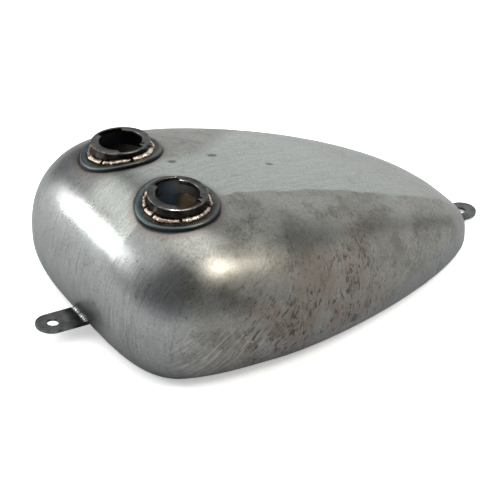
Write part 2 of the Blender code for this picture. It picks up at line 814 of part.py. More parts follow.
def main():
    clear_scene()
    opening = add_cutter("cut_floor_opening", opening_cutter())
    tunnel = add_cutter("cut_channel", channel_cutter())
    sides = (("left", -1.0), ("right", 1.0))

    seam = add_object("centre_seam_weld", centre_seam(), STEEL, 0.3)
    solidify(seam, SHEET, -1.0)
    cut(seam, opening)
    cut(seam, tunnel)

    for word, side in sides:
        frame = SHIFT @ filler_frame(side)
        hole = add_cutter("cut_filler_" + word, filler_cutter(), frame)
        shell = add_object(word + "_shell_half", half_shell(side), STEEL, 0.38)
        solidify(shell, SHEET, -1.0)
        cut(shell, opening)
        cut(shell, tunnel)
        cut(shell, hole)
        add_object(word + "_filler_neck", filler_neck(), DARK_STEEL, 0.35, frame)
        add_object(word + "_filler_saddle", saddle(side), DARK_STEEL, 0.4, frame)
        add_object(word + "_filler_braze", braze(side), BRASS, 0.35, frame)
        pan = add_object(word + "_floor_pan", floor_pan(side), STEEL, 0.42)
        add_object(word + "_floor_weld", floor_bead(side), DARK_STEEL, 0.45)
        add_object(word + "_channel_weld", channel_bead(side), DARK_STEEL, 0.45)
        if math.copysign(1.0, BUNG_Y) == side:
            bung_pan = pan

    frame_channel = add_object("frame_channel", channel(), STEEL, 0.42)
    solidify(frame_channel, SHEET, -1.0)

    bung_place = SHIFT @ Matrix.Translation((BUNG_X, BUNG_Y, 0.0))
    add_object("petcock_bung", bung(), DARK_STEEL, 0.35, bung_place)
    add_object("petcock_bung_weld", bung_bead(), DARK_STEEL, 0.45, bung_place)
    bm = bmesh.new()
    bmesh.ops.create_cone(bm, cap_ends=True, segments=ROUND_STEPS, radius1=BUNG_RADIUS + CLEARANCE,
                          radius2=BUNG_RADIUS + CLEARANCE, depth=0.02)
    cut(bung_pan, add_cutter("cut_bung", bm, bung_place))

    tab("front_mount_tab", FRONT_TAB_WIDTH, front_root, FRONT_TAB_LENGTH, front_tab_matrix())
    tab("rear_mount_tab", REAR_TAB_WIDTH, rear_root, REAR_TAB_LENGTH, rear_tab_matrix())
    add_object("front_tab_weld", tab_bead(FRONT_TAB_WIDTH, FRONT_TAB_HEIGHT, -1.0, nose_face, 0.4),
               STEEL, 0.4)
    add_object("rear_tab_weld", tab_bead(REAR_TAB_WIDTH, REAR_TAB_HEIGHT, 1.0, tail_face, 1.3),
               STEEL, 0.4)


main()
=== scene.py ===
import bmesh
import bpy
import numpy as np
from math import copysign, cos, pi, radians, sin, sqrt
from mathutils import Matrix, Vector, bvhtree, interpolate, noise


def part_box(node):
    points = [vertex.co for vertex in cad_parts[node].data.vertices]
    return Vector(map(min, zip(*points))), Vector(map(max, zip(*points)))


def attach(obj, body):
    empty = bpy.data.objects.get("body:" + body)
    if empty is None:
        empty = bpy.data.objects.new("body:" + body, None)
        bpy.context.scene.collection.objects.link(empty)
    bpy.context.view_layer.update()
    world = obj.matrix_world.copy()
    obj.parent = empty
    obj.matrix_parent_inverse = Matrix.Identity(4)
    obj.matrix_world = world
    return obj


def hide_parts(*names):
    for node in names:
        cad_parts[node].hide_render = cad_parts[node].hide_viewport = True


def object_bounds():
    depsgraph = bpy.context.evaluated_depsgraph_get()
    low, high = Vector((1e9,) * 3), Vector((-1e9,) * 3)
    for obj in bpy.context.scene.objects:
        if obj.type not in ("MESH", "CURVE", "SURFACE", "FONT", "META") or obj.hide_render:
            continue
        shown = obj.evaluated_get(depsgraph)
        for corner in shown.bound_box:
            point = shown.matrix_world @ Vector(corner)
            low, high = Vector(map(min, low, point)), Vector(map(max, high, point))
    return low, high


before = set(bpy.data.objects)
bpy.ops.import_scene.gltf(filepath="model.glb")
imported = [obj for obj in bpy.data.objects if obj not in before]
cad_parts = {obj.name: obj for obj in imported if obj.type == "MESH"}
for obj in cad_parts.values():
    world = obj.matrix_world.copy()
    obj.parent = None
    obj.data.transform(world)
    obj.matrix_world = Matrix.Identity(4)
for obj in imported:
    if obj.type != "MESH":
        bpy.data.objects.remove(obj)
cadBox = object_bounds()
print("frame loaded:", len(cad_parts), "nodes")

# the tank's form, from the nose

seamLow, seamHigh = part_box("centre_seam_weld")
shellLow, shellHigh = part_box("right_shell_half")

form = {
    "nose": shellLow.x,
    "length": shellHigh.x - shellLow.x,
    "halfWidth": shellHigh.y,
    "crown": seamHigh.z,
    "widestX": 0.1487,         # greatest width, behind the nose
    "crownX": 0.1026,          # greatest height, behind the nose
    "noseBelt": 0.0611,        # widest line at the nose
    "tailBelt": 0.0019,        # widest line at the tail
    "chin": 0.0542,
    "bellyDepth": 0.013,
    "bellyRise": 0.0135,
    "bellyRiseX": 0.227,
    "heelX": 0.3116,
    "edgeRoll": 0.004,
    "nosePlan": 3.53,
    "tailPlan": 1.22,
    "tailRound": 0.484,
    "shoulder": 0.08,
    "noseTop": 2.04,
    "tailTop": 1.73,
    "tailTopRound": 0.529,
    "upperAcross": (2.915, 3.061),   # section exponents, nose and tail
    "upperUp": (2.196, 3.198),
    "lowerAcross": (3.304, 2.522),
    "lowerDown": (2.874, 1.943),
    "seamEdge": 0.0028,
    "sheet": 0.0015,
}


def alongTank(pair, x):
    return pair[0] + (pair[1] - pair[0]) * x / form["length"]


def powerArc(u, power, root):
    return np.maximum(1.0 - np.clip(u, 0.0, 1.0) ** power, 0.0) ** root


def softRun(u):
    # starts level, so the plan has no corner where it is widest
    s = form["shoulder"]
    return (np.sqrt(u * u + s * s) - s) / (sqrt(1.0 + s * s) - s)


def halfWidth(x):
    fore = powerArc((form["widestX"] - x) / form["widestX"], form["nosePlan"], 1.0 / form["nosePlan"])
    u = np.maximum(x - form["widestX"], 0.0) / (form["length"] - form["widestX"])
    aft = powerArc(softRun(u), form["tailPlan"], form["tailRound"])
    return form["halfWidth"] * np.where(x < form["widestX"], fore, aft)


def beltHeight(x):
    return alongTank((form["noseBelt"], form["tailBelt"]), x)


def spineHeight(x):
    rise = form["crown"] - beltHeight(form["crownX"])
    fore = powerArc((form["crownX"] - x) / form["crownX"], form["noseTop"], 1.0 / form["noseTop"])
    u = (x - form["crownX"]) / (form["length"] - form["crownX"])
    aft = powerArc(u, form["tailTop"], form["tailTopRound"])
    return beltHeight(x) + rise * np.where(x < form["crownX"], fore, aft)


def bellyHeight(x):
    climb = np.clip((x - form["bellyRiseX"]) / (form["length"] - form["bellyRiseX"]), 0.0, 1.0)
    low = -form["bellyDepth"] + form["bellyRise"] * climb ** 1.5
    chin = powerArc((form["chin"] - x) / form["chin"], 2.0, 0.5)
    heel = powerArc((x - form["heelX"]) / (form["length"] - form["heelX"]), 2.2, 1.0 / 2.2)
    full = np.where(x < form["chin"], chin, np.where(x > form["heelX"], heel, 1.0))
    return beltHeight(x) - (beltHeight(x) - low) * full


def settle(z):
    # rolls the belly smoothly onto the flat base
    roll = form["edgeRoll"]
    return np.where(z > roll, z, np.maximum(z + roll, 0.0) ** 2 / (4.0 * roll))


def skinPoints(x, degrees):
    # outer skin of the right half; 90 degrees is the spine and -90 the keel
    reach = np.maximum(halfWidth(x), form["seamEdge"]) - form["seamEdge"]
    across = np.maximum(np.cos(np.radians(degrees)), 0.0)
    upward = np.abs(np.sin(np.radians(degrees)))
    over = degrees >= 0.0
    yOver = across ** (2.0 / alongTank(form["upperAcross"], x))
    yUnder = across ** (2.0 / alongTank(form["lowerAcross"], x))
    zOver = (spineHeight(x) - beltHeight(x)) * upward ** (2.0 / alongTank(form["upperUp"], x))
    zUnder = (bellyHeight(x) - beltHeight(x)) * upward ** (2.0 / alongTank(form["lowerDown"], x))
    y = form["seamEdge"] + reach * np.where(over, yOver, yUnder)
    z = settle(beltHeight(x) + np.where(over, zOver, zUnder))
    return np.stack([x + 0.0 * y, y, z], axis=-1)


def shareAcross(x, y):
    reach = np.maximum(halfWidth(x) - form["seamEdge"], 1e-6)
    return np.clip((np.abs(y) - form["seamEdge"]) / reach, 0.0, 1.0)


def topHeight(x, y):
    rise = powerArc(shareAcross(x, y), alongTank(form["upperAcross"], x),
                    1.0 / alongTank(form["upperUp"], x))
    return beltHeight(x) + (spineHeight(x) - beltHeight(x)) * rise


def underHeight(x, y):
    drop = powerArc(shareAcross(x, y), alongTank(form["lowerAcross"], x),
                    1.0 / alongTank(form["lowerDown"], x))
    return settle(beltHeight(x) - (beltHeight(x) - bellyHeight(x)) * drop)


def endFace(y, z, outer):
    # station where a line along X at (y, z) meets the nose (outer 0) or the tail (outer length)
    inner = form["widestX"]
    for _ in range(40):
        middle = (outer + inner) / 2.0
        isIn = abs(y) < halfWidth(middle) and underHeight(middle, y) <= z <= topHeight(middle, y)
        inner, outer = (middle, outer) if isIn else (inner, middle)
    return outer


# mesh helpers

def addObject(name, data):
    made = bpy.data.objects.new(name, data)
    bpy.context.scene.collection.objects.link(made)
    return made


def spun(ring, turn):
    # (radius, height) points turned to an angle about the axis
    return [(r * cos(turn), r * sin(turn), z) for r, z in ring]


def addMesh(name, bm, place=Matrix.Identity(4)):
    mesh = bpy.data.meshes.new(name)
    bm.to_mesh(mesh)
    bm.free()
    piece = addObject(name, mesh)
    piece.matrix_world = place
    return piece


def loftBody(rows, closedRows=False):
    # closed body through rings of points
    bm = bmesh.new()
    grid = [[bm.verts.new(point) for point in row] for row in rows]
    count = len(grid[0])
    for i in range(len(grid) if closedRows else len(grid) - 1):
        nextRow = grid[(i + 1) % len(grid)]
        for j in range(count):
            k = (j + 1) % count
            bm.faces.new((grid[i][j], grid[i][k], nextRow[k], nextRow[j]))
    if not closedRows:
        bm.faces.new(reversed(grid[0]))
        bm.faces.new(grid[-1])
    bmesh.ops.recalc_face_normals(bm, faces=bm.faces)
    return bm


def smoothShade(piece, sharpest=35.0):
    piece.data.shade_smooth()
    piece.data.set_sharp_from_angle(angle=radians(sharpest))


def bakeModifiers(piece):
    bpy.context.view_layer.update()
    evaluated = piece.evaluated_get(bpy.context.evaluated_depsgraph_get())
    made = bpy.data.meshes.new_from_object(evaluated)
    piece.modifiers.clear()
    piece.data = made


def addCut(piece, cutter):
    mod = piece.modifiers.new("cut", "BOOLEAN")
    mod.operation = "DIFFERENCE"
    mod.solver = "EXACT"
    mod.object = cutter


def rideRoot(piece, slotName, *nodes):
    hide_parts(*nodes)
    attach(piece, "root")


# fillers: place and lean

filler = {
    "leanForward": 1.37,       # degrees
    "leanOut": 3.25,
    "height": 0.0096,          # lip above the skin on the axis
    "depth": 0.010,            # neck below the skin
    "radius": 0.0293,
    "bore": 0.0278,
    "lipRadius": 0.0305,
    "lipBore": 0.0223,
    "lipDepth": 0.0024,
    "notchBore": 0.0275,
    "notchAngle": 62.0,
    "notchCorner": 3.0,        # degrees of rounding at a notch's ends
    "stopAngle": 311.0,        # small slot that stops the cap
    "stopWidth": 7.0,
    "stopBore": 0.0262,
    "camDrop": 0.0012,
    "steps": 240,
}


def fillerMatrix(side):
    low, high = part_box("left_filler_neck" if side < 0 else "right_filler_neck")
    forward = sin(radians(filler["leanForward"]))
    outward = sin(radians(filler["leanOut"]))
    axis = Vector((-forward, side * outward, sqrt(1.0 - forward ** 2 - outward ** 2)))
    along = Vector((1.0, 0.0, 0.0))
    along = (along - axis * along.dot(axis)).normalized()
    x = (low.x + high.x) / 2.0 - axis.x * filler["height"]
    y = (low.y + high.y) / 2.0 - axis.y * filler["height"]
    place = Vector((x, y, float(topHeight(x - form["nose"], y))))
    turn = Matrix((along, axis.cross(along), axis)).transposed().to_4x4()
    return Matrix.Translation(place) @ turn


fillerPlaces = {"left": fillerMatrix(-1.0), "right": fillerMatrix(1.0)}


def skinUnder(place, radius, turn):
    # height of the skin in a filler's own frame
    axis = place.col[2].to_3d()
    start = place @ Vector((radius * cos(turn), radius * sin(turn), 0.0))
    drop = 0.0
    for _ in range(8):
        point = start + axis * drop
        drop += (float(topHeight(point.x - form["nose"], point.y)) - point.z) / axis.z
    return drop


# the whole outer skin, one closed surface

skin = {
    "noseRings": 46,
    "tailRings": 86,
    "sectionSteps": 96,
    "waveDepth": 0.00035,      # soft unevenness of hand-finished sheet
    "waveSize": 0.055,
    "dingDepth": 0.00012,
    "dingSize": 0.018,
}


def ringStations():
    widest, length = form["widestX"], form["length"]
    steps = np.arange(1, skin["noseRings"]) / skin["noseRings"]
    u = powerArc(np.sin(steps * pi / 2.0), form["nosePlan"], 1.0 / form["nosePlan"])
    fore = widest * (1.0 - u)
    steps = np.arange(skin["tailRings"]) / skin["tailRings"]
    wide = np.cos(steps * pi / 2.0)
    v = (1.0 - wide ** (1.0 / form["tailRound"])) ** (1.0 / form["tailPlan"])
    s = form["shoulder"]
    top = sqrt(1.0 + s * s) - s
    aft = widest + np.sqrt((v * top + s) ** 2 - s * s) * (length - widest)
    return np.concatenate([fore, aft])


def sheetWave(point, normal):
    # low swells and small dings, none at the base or round the fillers
    fade = min(max(point.z / 0.03, 0.0), 1.0)
    for place in fillerPlaces.values():
        away = (point.xy - place.translation.xy).length
        fade *= min(max((away - 0.045) / 0.03, 0.0), 1.0)
    swell = noise.noise(point / skin["waveSize"] + Vector((3.1, 7.7, 1.3)))
    ding = noise.noise(point / skin["dingSize"] + Vector((11.0, 2.5, 5.9)))
    return normal * fade * (swell * skin["waveDepth"] + ding * skin["dingDepth"])


def buildSkin():
    stations = ringStations()
    steps = skin["sectionSteps"]
    angles = 90.0 - 180.0 * np.arange(steps + 1) / steps
    grid = skinPoints(stations[:, None], angles[None, :])
    ends = skinPoints(np.array([0.0, form["length"]]), np.array([0.0, 0.0]))
    bm = bmesh.new()
    halfLayer = bm.faces.layers.int.new("half")
    rings = {}
    tips = {}
    for side in (-1, 1):
        flip = np.array([1.0, side, 1.0])
        rings[side] = [[bm.verts.new(p * flip) for p in row] for row in grid]
        tips[side] = [bm.verts.new(p * flip) for p in ends]
    over = [bm.verts.new((row[0][0], 0.0, row[0][2])) for row in grid]
    under = [bm.verts.new((row[-1][0], 0.0, row[-1][2])) for row in grid]
    middle = [bm.verts.new((p[0], 0.0, p[2])) for p in ends]

    def face(verts, half):
        bm.faces.new(verts)[halfLayer] = half

    for side in (-1, 1):
        rows = rings[side]
        for j in range(steps):
            face((tips[side][0], rows[0][j], rows[0][j + 1]), side)
            face((tips[side][1], rows[-1][j + 1], rows[-1][j]), side)
            for fore, aft in zip(rows, rows[1:]):
                face((fore[j], aft[j], aft[j + 1], fore[j + 1]), side)
        for line, j in ((over, 0), (under, steps)):
            edge = [tips[side][0]] + [row[j] for row in rows] + [tips[side][1]]
            centre = [middle[0]] + line + [middle[1]]
            for i in range(len(edge) - 1):
                face((edge[i], edge[i + 1], centre[i + 1], centre[i]), 0)
    bmesh.ops.recalc_face_normals(bm, faces=bm.faces)
    bmesh.ops.translate(bm, verts=bm.verts, vec=(form["nose"], 0.0, 0.0))
    bm.normal_update()
    moves = [(v, sheetWave(v.co, v.normal)) for v in bm.verts]
    for v, move in moves:
        v.co += move
    bm.normal_update()
    return bm


wholeSkin = buildSkin()
skinTree = bvhtree.BVHTree.FromBMesh(wholeSkin)
wholeSkin.verts.ensure_lookup_table()
wholeSkin.faces.ensure_lookup_table()


def skinNormal(point):
    # smooth normal of the whole skin at its nearest point
    spot, _, index, _ = skinTree.find_nearest(point)
    corners = wholeSkin.faces[index].verts
    weights = interpolate.poly_3d_calc([v.co for v in corners], spot)
    total = Vector((0.0, 0.0, 0.0))
    for v, weight in zip(corners, weights):
        total += v.normal * weight
    return total.normalized()


def skinPart(name, half):
    layer = wholeSkin.faces.layers.int["half"]
    bm = bmesh.new()
    made = {}
    for old in wholeSkin.faces:
        if old[layer] != half:
            continue
        corners = []
        for v in old.verts:
            if v.index not in made:
                made[v.index] = bm.verts.new(v.co)
            corners.append(made[v.index])
        bm.faces.new(corners)
    return addMesh(name, bm)


def skinShade(piece):
    # outer and inner faces take the whole skin's normals, so the three sheets read as one
    mesh = piece.data
    mesh.shade_smooth()
    cached = {}
    normals = [None] * len(mesh.loops)
    for polygon in mesh.polygons:
        for index in polygon.loop_indices:
            vertex = mesh.loops[index].vertex_index
            if vertex not in cached:
                cached[vertex] = skinNormal(mesh.vertices[vertex].co)
            across = cached[vertex].dot(polygon.normal)
            if across > 0.8:
                normals[index] = cached[vertex]
            elif across < -0.8:
                normals[index] = -cached[vertex]
            else:
                normals[index] = polygon.normal.copy()
    mesh.normals_split_custom_set(normals)


print("skin laid out:", len(wholeSkin.faces), "faces")

# base opening and frame channel

base = {
    "lip": 0.013,              # flat lip round the floor opening
    "gap": 0.0003,
    "channelHalf": 0.022,
    "channelFront": 0.0085,    # channel depth at the chin
    "channelRear": 0.0002,
    "channelPower": 3.5,
    "runOut": 0.008,
    "outlineSteps": 72,
}


def flatStart(inner, outer):
    for _ in range(40):
        middle = (inner + outer) / 2.0
        if bellyHeight(middle) < -form["edgeRoll"]:
            inner = middle
        else:
            outer = middle
    return inner


flatFront = flatStart(form["bellyRiseX"], 0.0)
flatRear = flatStart(form["bellyRiseX"], form["length"])


def flatHalfWidth(x):
    down = (beltHeight(x) + form["edgeRoll"]) / (beltHeight(x) - bellyHeight(x))
    share = powerArc(down, alongTank(form["lowerDown"], x), 1.0 / alongTank(form["lowerAcross"], x))
    return form["seamEdge"] + (halfWidth(x) - form["seamEdge"]) * share


def baseOutline(inset):
    swing = (1.0 - np.cos(pi * np.arange(base["outlineSteps"] + 1) / base["outlineSteps"])) / 2.0
    x = flatFront + (flatRear - flatFront) * swing
    y = flatHalfWidth(x)
    middle = (flatFront + flatRear) / 2.0
    along = (flatRear - flatFront - 2.0 * inset) / (flatRear - flatFront)
    across = (y.max() - inset) / y.max()
    return [(form["nose"] + middle + (a - middle) * along, b * across) for a, b in zip(x, y)]


channelEdge = base["channelHalf"] + form["sheet"] + base["gap"]
chinX = form["nose"] + endFace(0.0, base["channelFront"], 0.0)
channelEnd = baseOutline(base["lip"])[-1][0] + base["runOut"]


def channelDepth(x):
    share = min(max((x - chinX) / (channelEnd - chinX), 0.0), 1.0)
    return base["channelFront"] + (base["channelRear"] - base["channelFront"]) * share


def archPoint(degrees, half, depth):
    across = cos(radians(degrees))
    upward = max(sin(radians(degrees)), 0.0)
    y = copysign(abs(across) ** (2.0 / base["channelPower"]), across) * half
    return y, depth * upward ** (2.0 / base["channelPower"])


def openingCutter():
    outline = baseOutline(base["lip"])
    outline += [(x, -y) for x, y in reversed(outline)]
    rows = [[(x, y, z) for x, y in outline] for z in (-0.01, form["sheet"] + 0.001)]
    return addMesh("openingCutter", loftBody(rows))


def channelCutter():
    foot = form["sheet"] + 2.0 * base["gap"]
    start = form["nose"] - 0.02
    rows = []
    for i in range(29):
        x = start + (channelEnd + base["gap"] - start) * i / 28
        arch = [archPoint(180.0 * k / 48, channelEdge, channelDepth(x)) for k in range(49)]
        rows.append([(x, channelEdge, -0.02)] + [(x, y, foot + z) for y, z in arch]
                    + [(x, -channelEdge, -0.02)])
    return addMesh("channelCutter", loftBody(rows))


def fillerCutter(place):
    bm = bmesh.new()
    radius = filler["radius"] + base["gap"]
    bmesh.ops.create_cone(bm, cap_ends=True, segments=96, radius1=radius, radius2=radius, depth=0.03)
    return addMesh("fillerCutter", bm, place)


opening = openingCutter()
tunnel = channelCutter()
cutters = [opening, tunnel]
skinPieces = {}
sheetFinishes = [bpy.data.materials.new(name) for name in ("bareSheetSteel", "insideSheetSteel")]
for name, half in (("left_shell_skin", -1), ("right_shell_skin", 1), ("centre_seam_skin", 0)):
    piece = skinPart(name, half)
    for finish in sheetFinishes:
        piece.data.materials.append(finish)
    thick = piece.modifiers.new("sheet", "SOLIDIFY")
    thick.thickness = form["sheet"]
    thick.offset = -1.0
    thick.material_offset = 1
    addCut(piece, opening)
    addCut(piece, tunnel)
    if half:
        hole = fillerCutter(fillerPlaces["left" if half < 0 else "right"])
        cutters.append(hole)
        addCut(piece, hole)
    bakeModifiers(piece)
    skinShade(piece)
    skinPieces[name] = piece
for cutter in cutters:
    bpy.data.objects.remove(cutter, do_unlink=True)
wholeSkin.free()
rideRoot(skinPieces["left_shell_skin"], "bare_sheet_steel", "left_shell_half")
rideRoot(skinPieces["right_shell_skin"], "bare_sheet_steel", "right_shell_half")
rideRoot(skinPieces["centre_seam_skin"], "ground_weld_steel", "centre_seam_weld")
print("shell skins cut and shaded")


def buildChannel():
    bm = bmesh.new()
    rows = []
    for i in range(49):
        degrees = 180.0 * i / 48
        y, z = archPoint(degrees, base["channelHalf"], base["channelFront"])
        front = form["nose"] + endFace(y, z + base["gap"], 0.0) - base["gap"]
        row = []
        for j in range(41):
            x = front + (channelEnd - front) * j / 40
            y, z = archPoint(degrees, base["channelHalf"], channelDepth(x))
            row.append(bm.verts.new((x, y, base["gap"] + z)))
        rows.append(row)
    for near, far in zip(rows, rows[1:]):
        for j in range(40):
            bm.faces.new((near[j], near[j + 1], far[j + 1], far[j]))
    piece = addMesh("frame_channel_sheet", bm)
    piece.data.flip_normals()
    thick = piece.modifiers.new("sheet", "SOLIDIFY")
    thick.thickness = form["sheet"]
    thick.offset = 1.0
    bakeModifiers(piece)
    smoothShade(piece)
    return piece


channel = buildChannel()
rideRoot(channel, "floor_sheet_steel", "frame_channel")

# filler necks


def easeStep(value, low, high):
    share = min(max((value - low) / (high - low), 0.0), 1.0)
    return share * share * (3.0 - 2.0 * share)


def lipBoreAt(degrees):
    # the flange's bore: wide in the two cap notches and in the small stop slot
    bore = filler["lipBore"]
    corner = filler["notchCorner"]
    for middle in (90.0, 270.0):
        away = abs(degrees - middle)
        half = filler["notchAngle"] / 2.0
        share = 1.0 - easeStep(away, half - corner, half + corner)
        bore += (filler["notchBore"] - filler["lipBore"]) * share
    away = abs(degrees - filler["stopAngle"])
    share = 1.0 - easeStep(away, filler["stopWidth"] / 2.0 - 1.0, filler["stopWidth"] / 2.0 + 1.0)
    return max(bore, filler["lipBore"] + (filler["stopBore"] - filler["lipBore"]) * share)


def camDropAt(degrees):
    # each cam ramps down from one notch to the next
    run = (degrees - 90.0 - filler["notchAngle"] / 2.0) % 180.0
    return filler["camDrop"] * min(run / (180.0 - filler["notchAngle"]), 1.0)


def neckRing(degrees):
    high = filler["height"]
    bore = lipBoreAt(degrees)
    flange = (filler["notchBore"] - bore) / (filler["notchBore"] - filler["lipBore"])
    roll = (filler["lipRadius"] - filler["radius"] + 0.0012) / 2.0
    rollR, rollZ = filler["lipRadius"] - roll, high - roll
    profile = [(filler["radius"], -filler["depth"]), (filler["radius"], 0.0)]
    profile.append((filler["radius"], high - filler["lipDepth"] - 0.0004))
    for k in range(9):
        turn = radians(-62.0 + 152.0 * k / 8)
        profile.append((rollR + roll * cos(turn), rollZ + roll * sin(turn)))
    dish = 0.00035 * flange
    profile.append((rollR - 0.0014, high - dish * 0.7))
    profile.append(((rollR + bore) / 2.0, high - dish))
    edge = 0.0007
    curl = 0.0011 * flange
    profile.append((bore + edge * 2.2, high - dish * 0.6))
    for k in range(6):
        turn = radians(90.0 + 90.0 * k / 5)
        profile.append((bore + edge + edge * cos(turn), high - edge + edge * sin(turn)))
    under = high - form["sheet"] - camDropAt(degrees) * flange
    profile.append((bore, under - curl))
    profile.append((bore + edge, under - curl - 0.0002))
    inner = filler["bore"]
    profile.append((min(bore + 2.0 * edge, inner - 0.0001), under - 0.0002))
    profile.append((inner - 0.00008, under - 0.0003))
    profile.append((inner, under - 0.0009))
    profile.append((inner, 0.0))
    profile.append((inner, -filler["depth"] + 0.0003))
    profile.append((inner + 0.0003, -filler["depth"]))
    return profile


def buildNeck(side):
    rows = []
    for i in range(filler["steps"]):
        degrees = 360.0 * i / filler["steps"]
        rows.append(spun(neckRing(degrees), radians(degrees)))
    piece = addMesh(side + "_filler_neck_ring", loftBody(rows, closedRows=True), fillerPlaces[side])
    smoothShade(piece, 50.0)
    return piece


# pressed saddles

saddle = {
    "radius": 0.043,
    # shares of the ring's width, closer together at the rolled rim
    "shares": (0.0, 0.1, 0.2, 0.3, 0.4, 0.48, 0.55, 0.62, 0.68, 0.74, 0.80,
               0.85, 0.89, 0.93, 0.96, 0.985, 1.0),
    "valley": 0.0016,          # height of the ring's flat over the skin
    "crest": 0.0034,           # height of its rolled rim
    "crestAt": 0.80,           # share of the ring's width
    "steps": 240,
}


def saddleHeight(share):
    rise = easeStep(share, 0.46, saddle["crestAt"])
    height = saddle["valley"] + (saddle["crest"] - saddle["valley"]) * rise
    if share > saddle["crestAt"]:
        over = (share - saddle["crestAt"]) / (1.0 - saddle["crestAt"])
        height *= sqrt(max(1.0 - over ** 2.6, 0.0))
    return height


def buildSaddle(side):
    place = fillerPlaces[side]
    inner = filler["radius"] + base["gap"]
    width = saddle["radius"] - inner
    rows = []
    for i in range(saddle["steps"]):
        turn = 2.0 * pi * i / saddle["steps"]
        spot = Vector((cos(turn), sin(turn), 0.0))
        wobble = 1.0 + 0.012 * noise.noise(spot * 2.3 + Vector((len(side), 0.0, 4.0)))
        ring = [(inner, 0.0001)]
        for share in saddle["shares"]:
            radius = inner + width * share * (wobble if share > 0.5 else 1.0)
            hammer = 0.00012 * noise.noise(spot * radius * 260.0)
            ring.append((radius, max(saddleHeight(share) + hammer * (1.0 - share), 0.0002)))
        ring.append((inner + width * wobble, 0.00005))
        ring.append((inner + width * 0.5, 0.00005))
        rows.append(spun([(r, skinUnder(place, r, turn) + h) for r, h in ring], turn))
    piece = addMesh(side + "_filler_saddle_ring", loftBody(rows, closedRows=True), place)
    smoothShade(piece, 60.0)
    return piece


# brass fillets between neck and saddle

braze = {
    "reach": 0.0060,           # fillet's foot past the neck
    "rise": 0.0030,            # fillet up the neck
    "steps": 480,
    "left": {"breaks": (42.0, 105.0, 167.0, 193.0, 247.0, 319.0), "phase": 2.0},
    "right": {"breaks": (20.0, 96.0, 206.0, 262.0, 331.0), "phase": 9.0},
    "breakWidth": 3.2,         # degrees
}


def brazeSize(side, degrees):
    spot = Vector((cos(radians(degrees)), sin(radians(degrees)), 0.0))
    phase = braze[side]["phase"]
    size = 0.86 + 0.22 * noise.noise(spot * 3.0 + Vector((0.0, 0.0, phase)))
    size += 0.13 * noise.noise(spot * 11.0 + Vector((0.0, 0.0, phase * 2.0)))
    for middle in braze[side]["breaks"]:
        away = abs((degrees - middle + 180.0) % 360.0 - 180.0)
        size *= 0.30 + 0.70 * easeStep(away, braze["breakWidth"] * 0.3, braze["breakWidth"])
    return size


def buildBraze(side):
    place = fillerPlaces[side]
    inner = filler["radius"] - 0.0002
    rows = []
    for i in range(braze["steps"]):
        degrees = 360.0 * i / braze["steps"]
        turn = radians(degrees)
        size = brazeSize(side, degrees)
        foot = skinUnder(place, inner + 0.002, turn) + saddle["valley"] - 0.0004
        rise = braze["rise"] * size
        reach = braze["reach"] * size
        ring = [(inner, foot), (inner, foot + rise + 0.0004)]
        for k in range(9):
            swing = radians(90.0 * k / 8)
            lump = 1.0 + 0.06 * noise.noise(Vector((degrees * 0.35, k * 0.9, braze[side]["phase"])))
            ring.append((inner + 0.0003 + reach * sin(swing) ** 0.85 * lump,
                         foot + 0.0003 + rise * cos(swing) ** 0.85 * lump))
        ring.append((inner + reach * 0.98, foot))
        rows.append(spun(ring, turn))
    piece = addMesh(side + "_filler_braze_fillet", loftBody(rows, closedRows=True), place)
    smoothShade(piece, 60.0)
    return piece


fillerPieces = {}
for side in ("left", "right"):
    fillerPieces[side] = (buildNeck(side), buildSaddle(side), buildBraze(side))
    neck, ringPiece, fillet = fillerPieces[side]
    rideRoot(neck, "blued_neck_steel", side + "_filler_neck")
    rideRoot(ringPiece, "heat_tinted_saddle_steel", side + "_filler_saddle")
    rideRoot(fillet, "filler_brass", side + "_filler_braze")
print("fillers built")

# mounting tabs

tabs = {
    "thickness": 0.003,
    "hole": 0.0125,
    "holeFromTip": 0.0185,
    "edge": 0.0004,            # worn edge
    "frontPitch": 1.4,         # degrees, tip up
    "sink": 0.0006,            # how far a root edge runs into its weld
}


def tabPlace(front):
    low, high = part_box("front_mount_tab" if front else "rear_mount_tab")
    width = high.y - low.y
    if front:
        pitch = radians(tabs["frontPitch"])
        height = low.z + tabs["thickness"] / 2.0 * cos(pitch)
        rootX = form["nose"] + endFace(0.0, height, 0.0)
        length = (rootX - low.x) / cos(pitch)
        turn = Matrix.Rotation(pi, 4, "Z") @ Matrix.Rotation(-pitch, 4, "Y")
        return width, length, Matrix.Translation((rootX, 0.0, height)) @ turn
    height = (low.z + high.z) / 2.0
    rootX = form["nose"] + endFace(0.0, height, form["length"])
    return width, high.x - rootX, Matrix.Translation((rootX, 0.0, height))


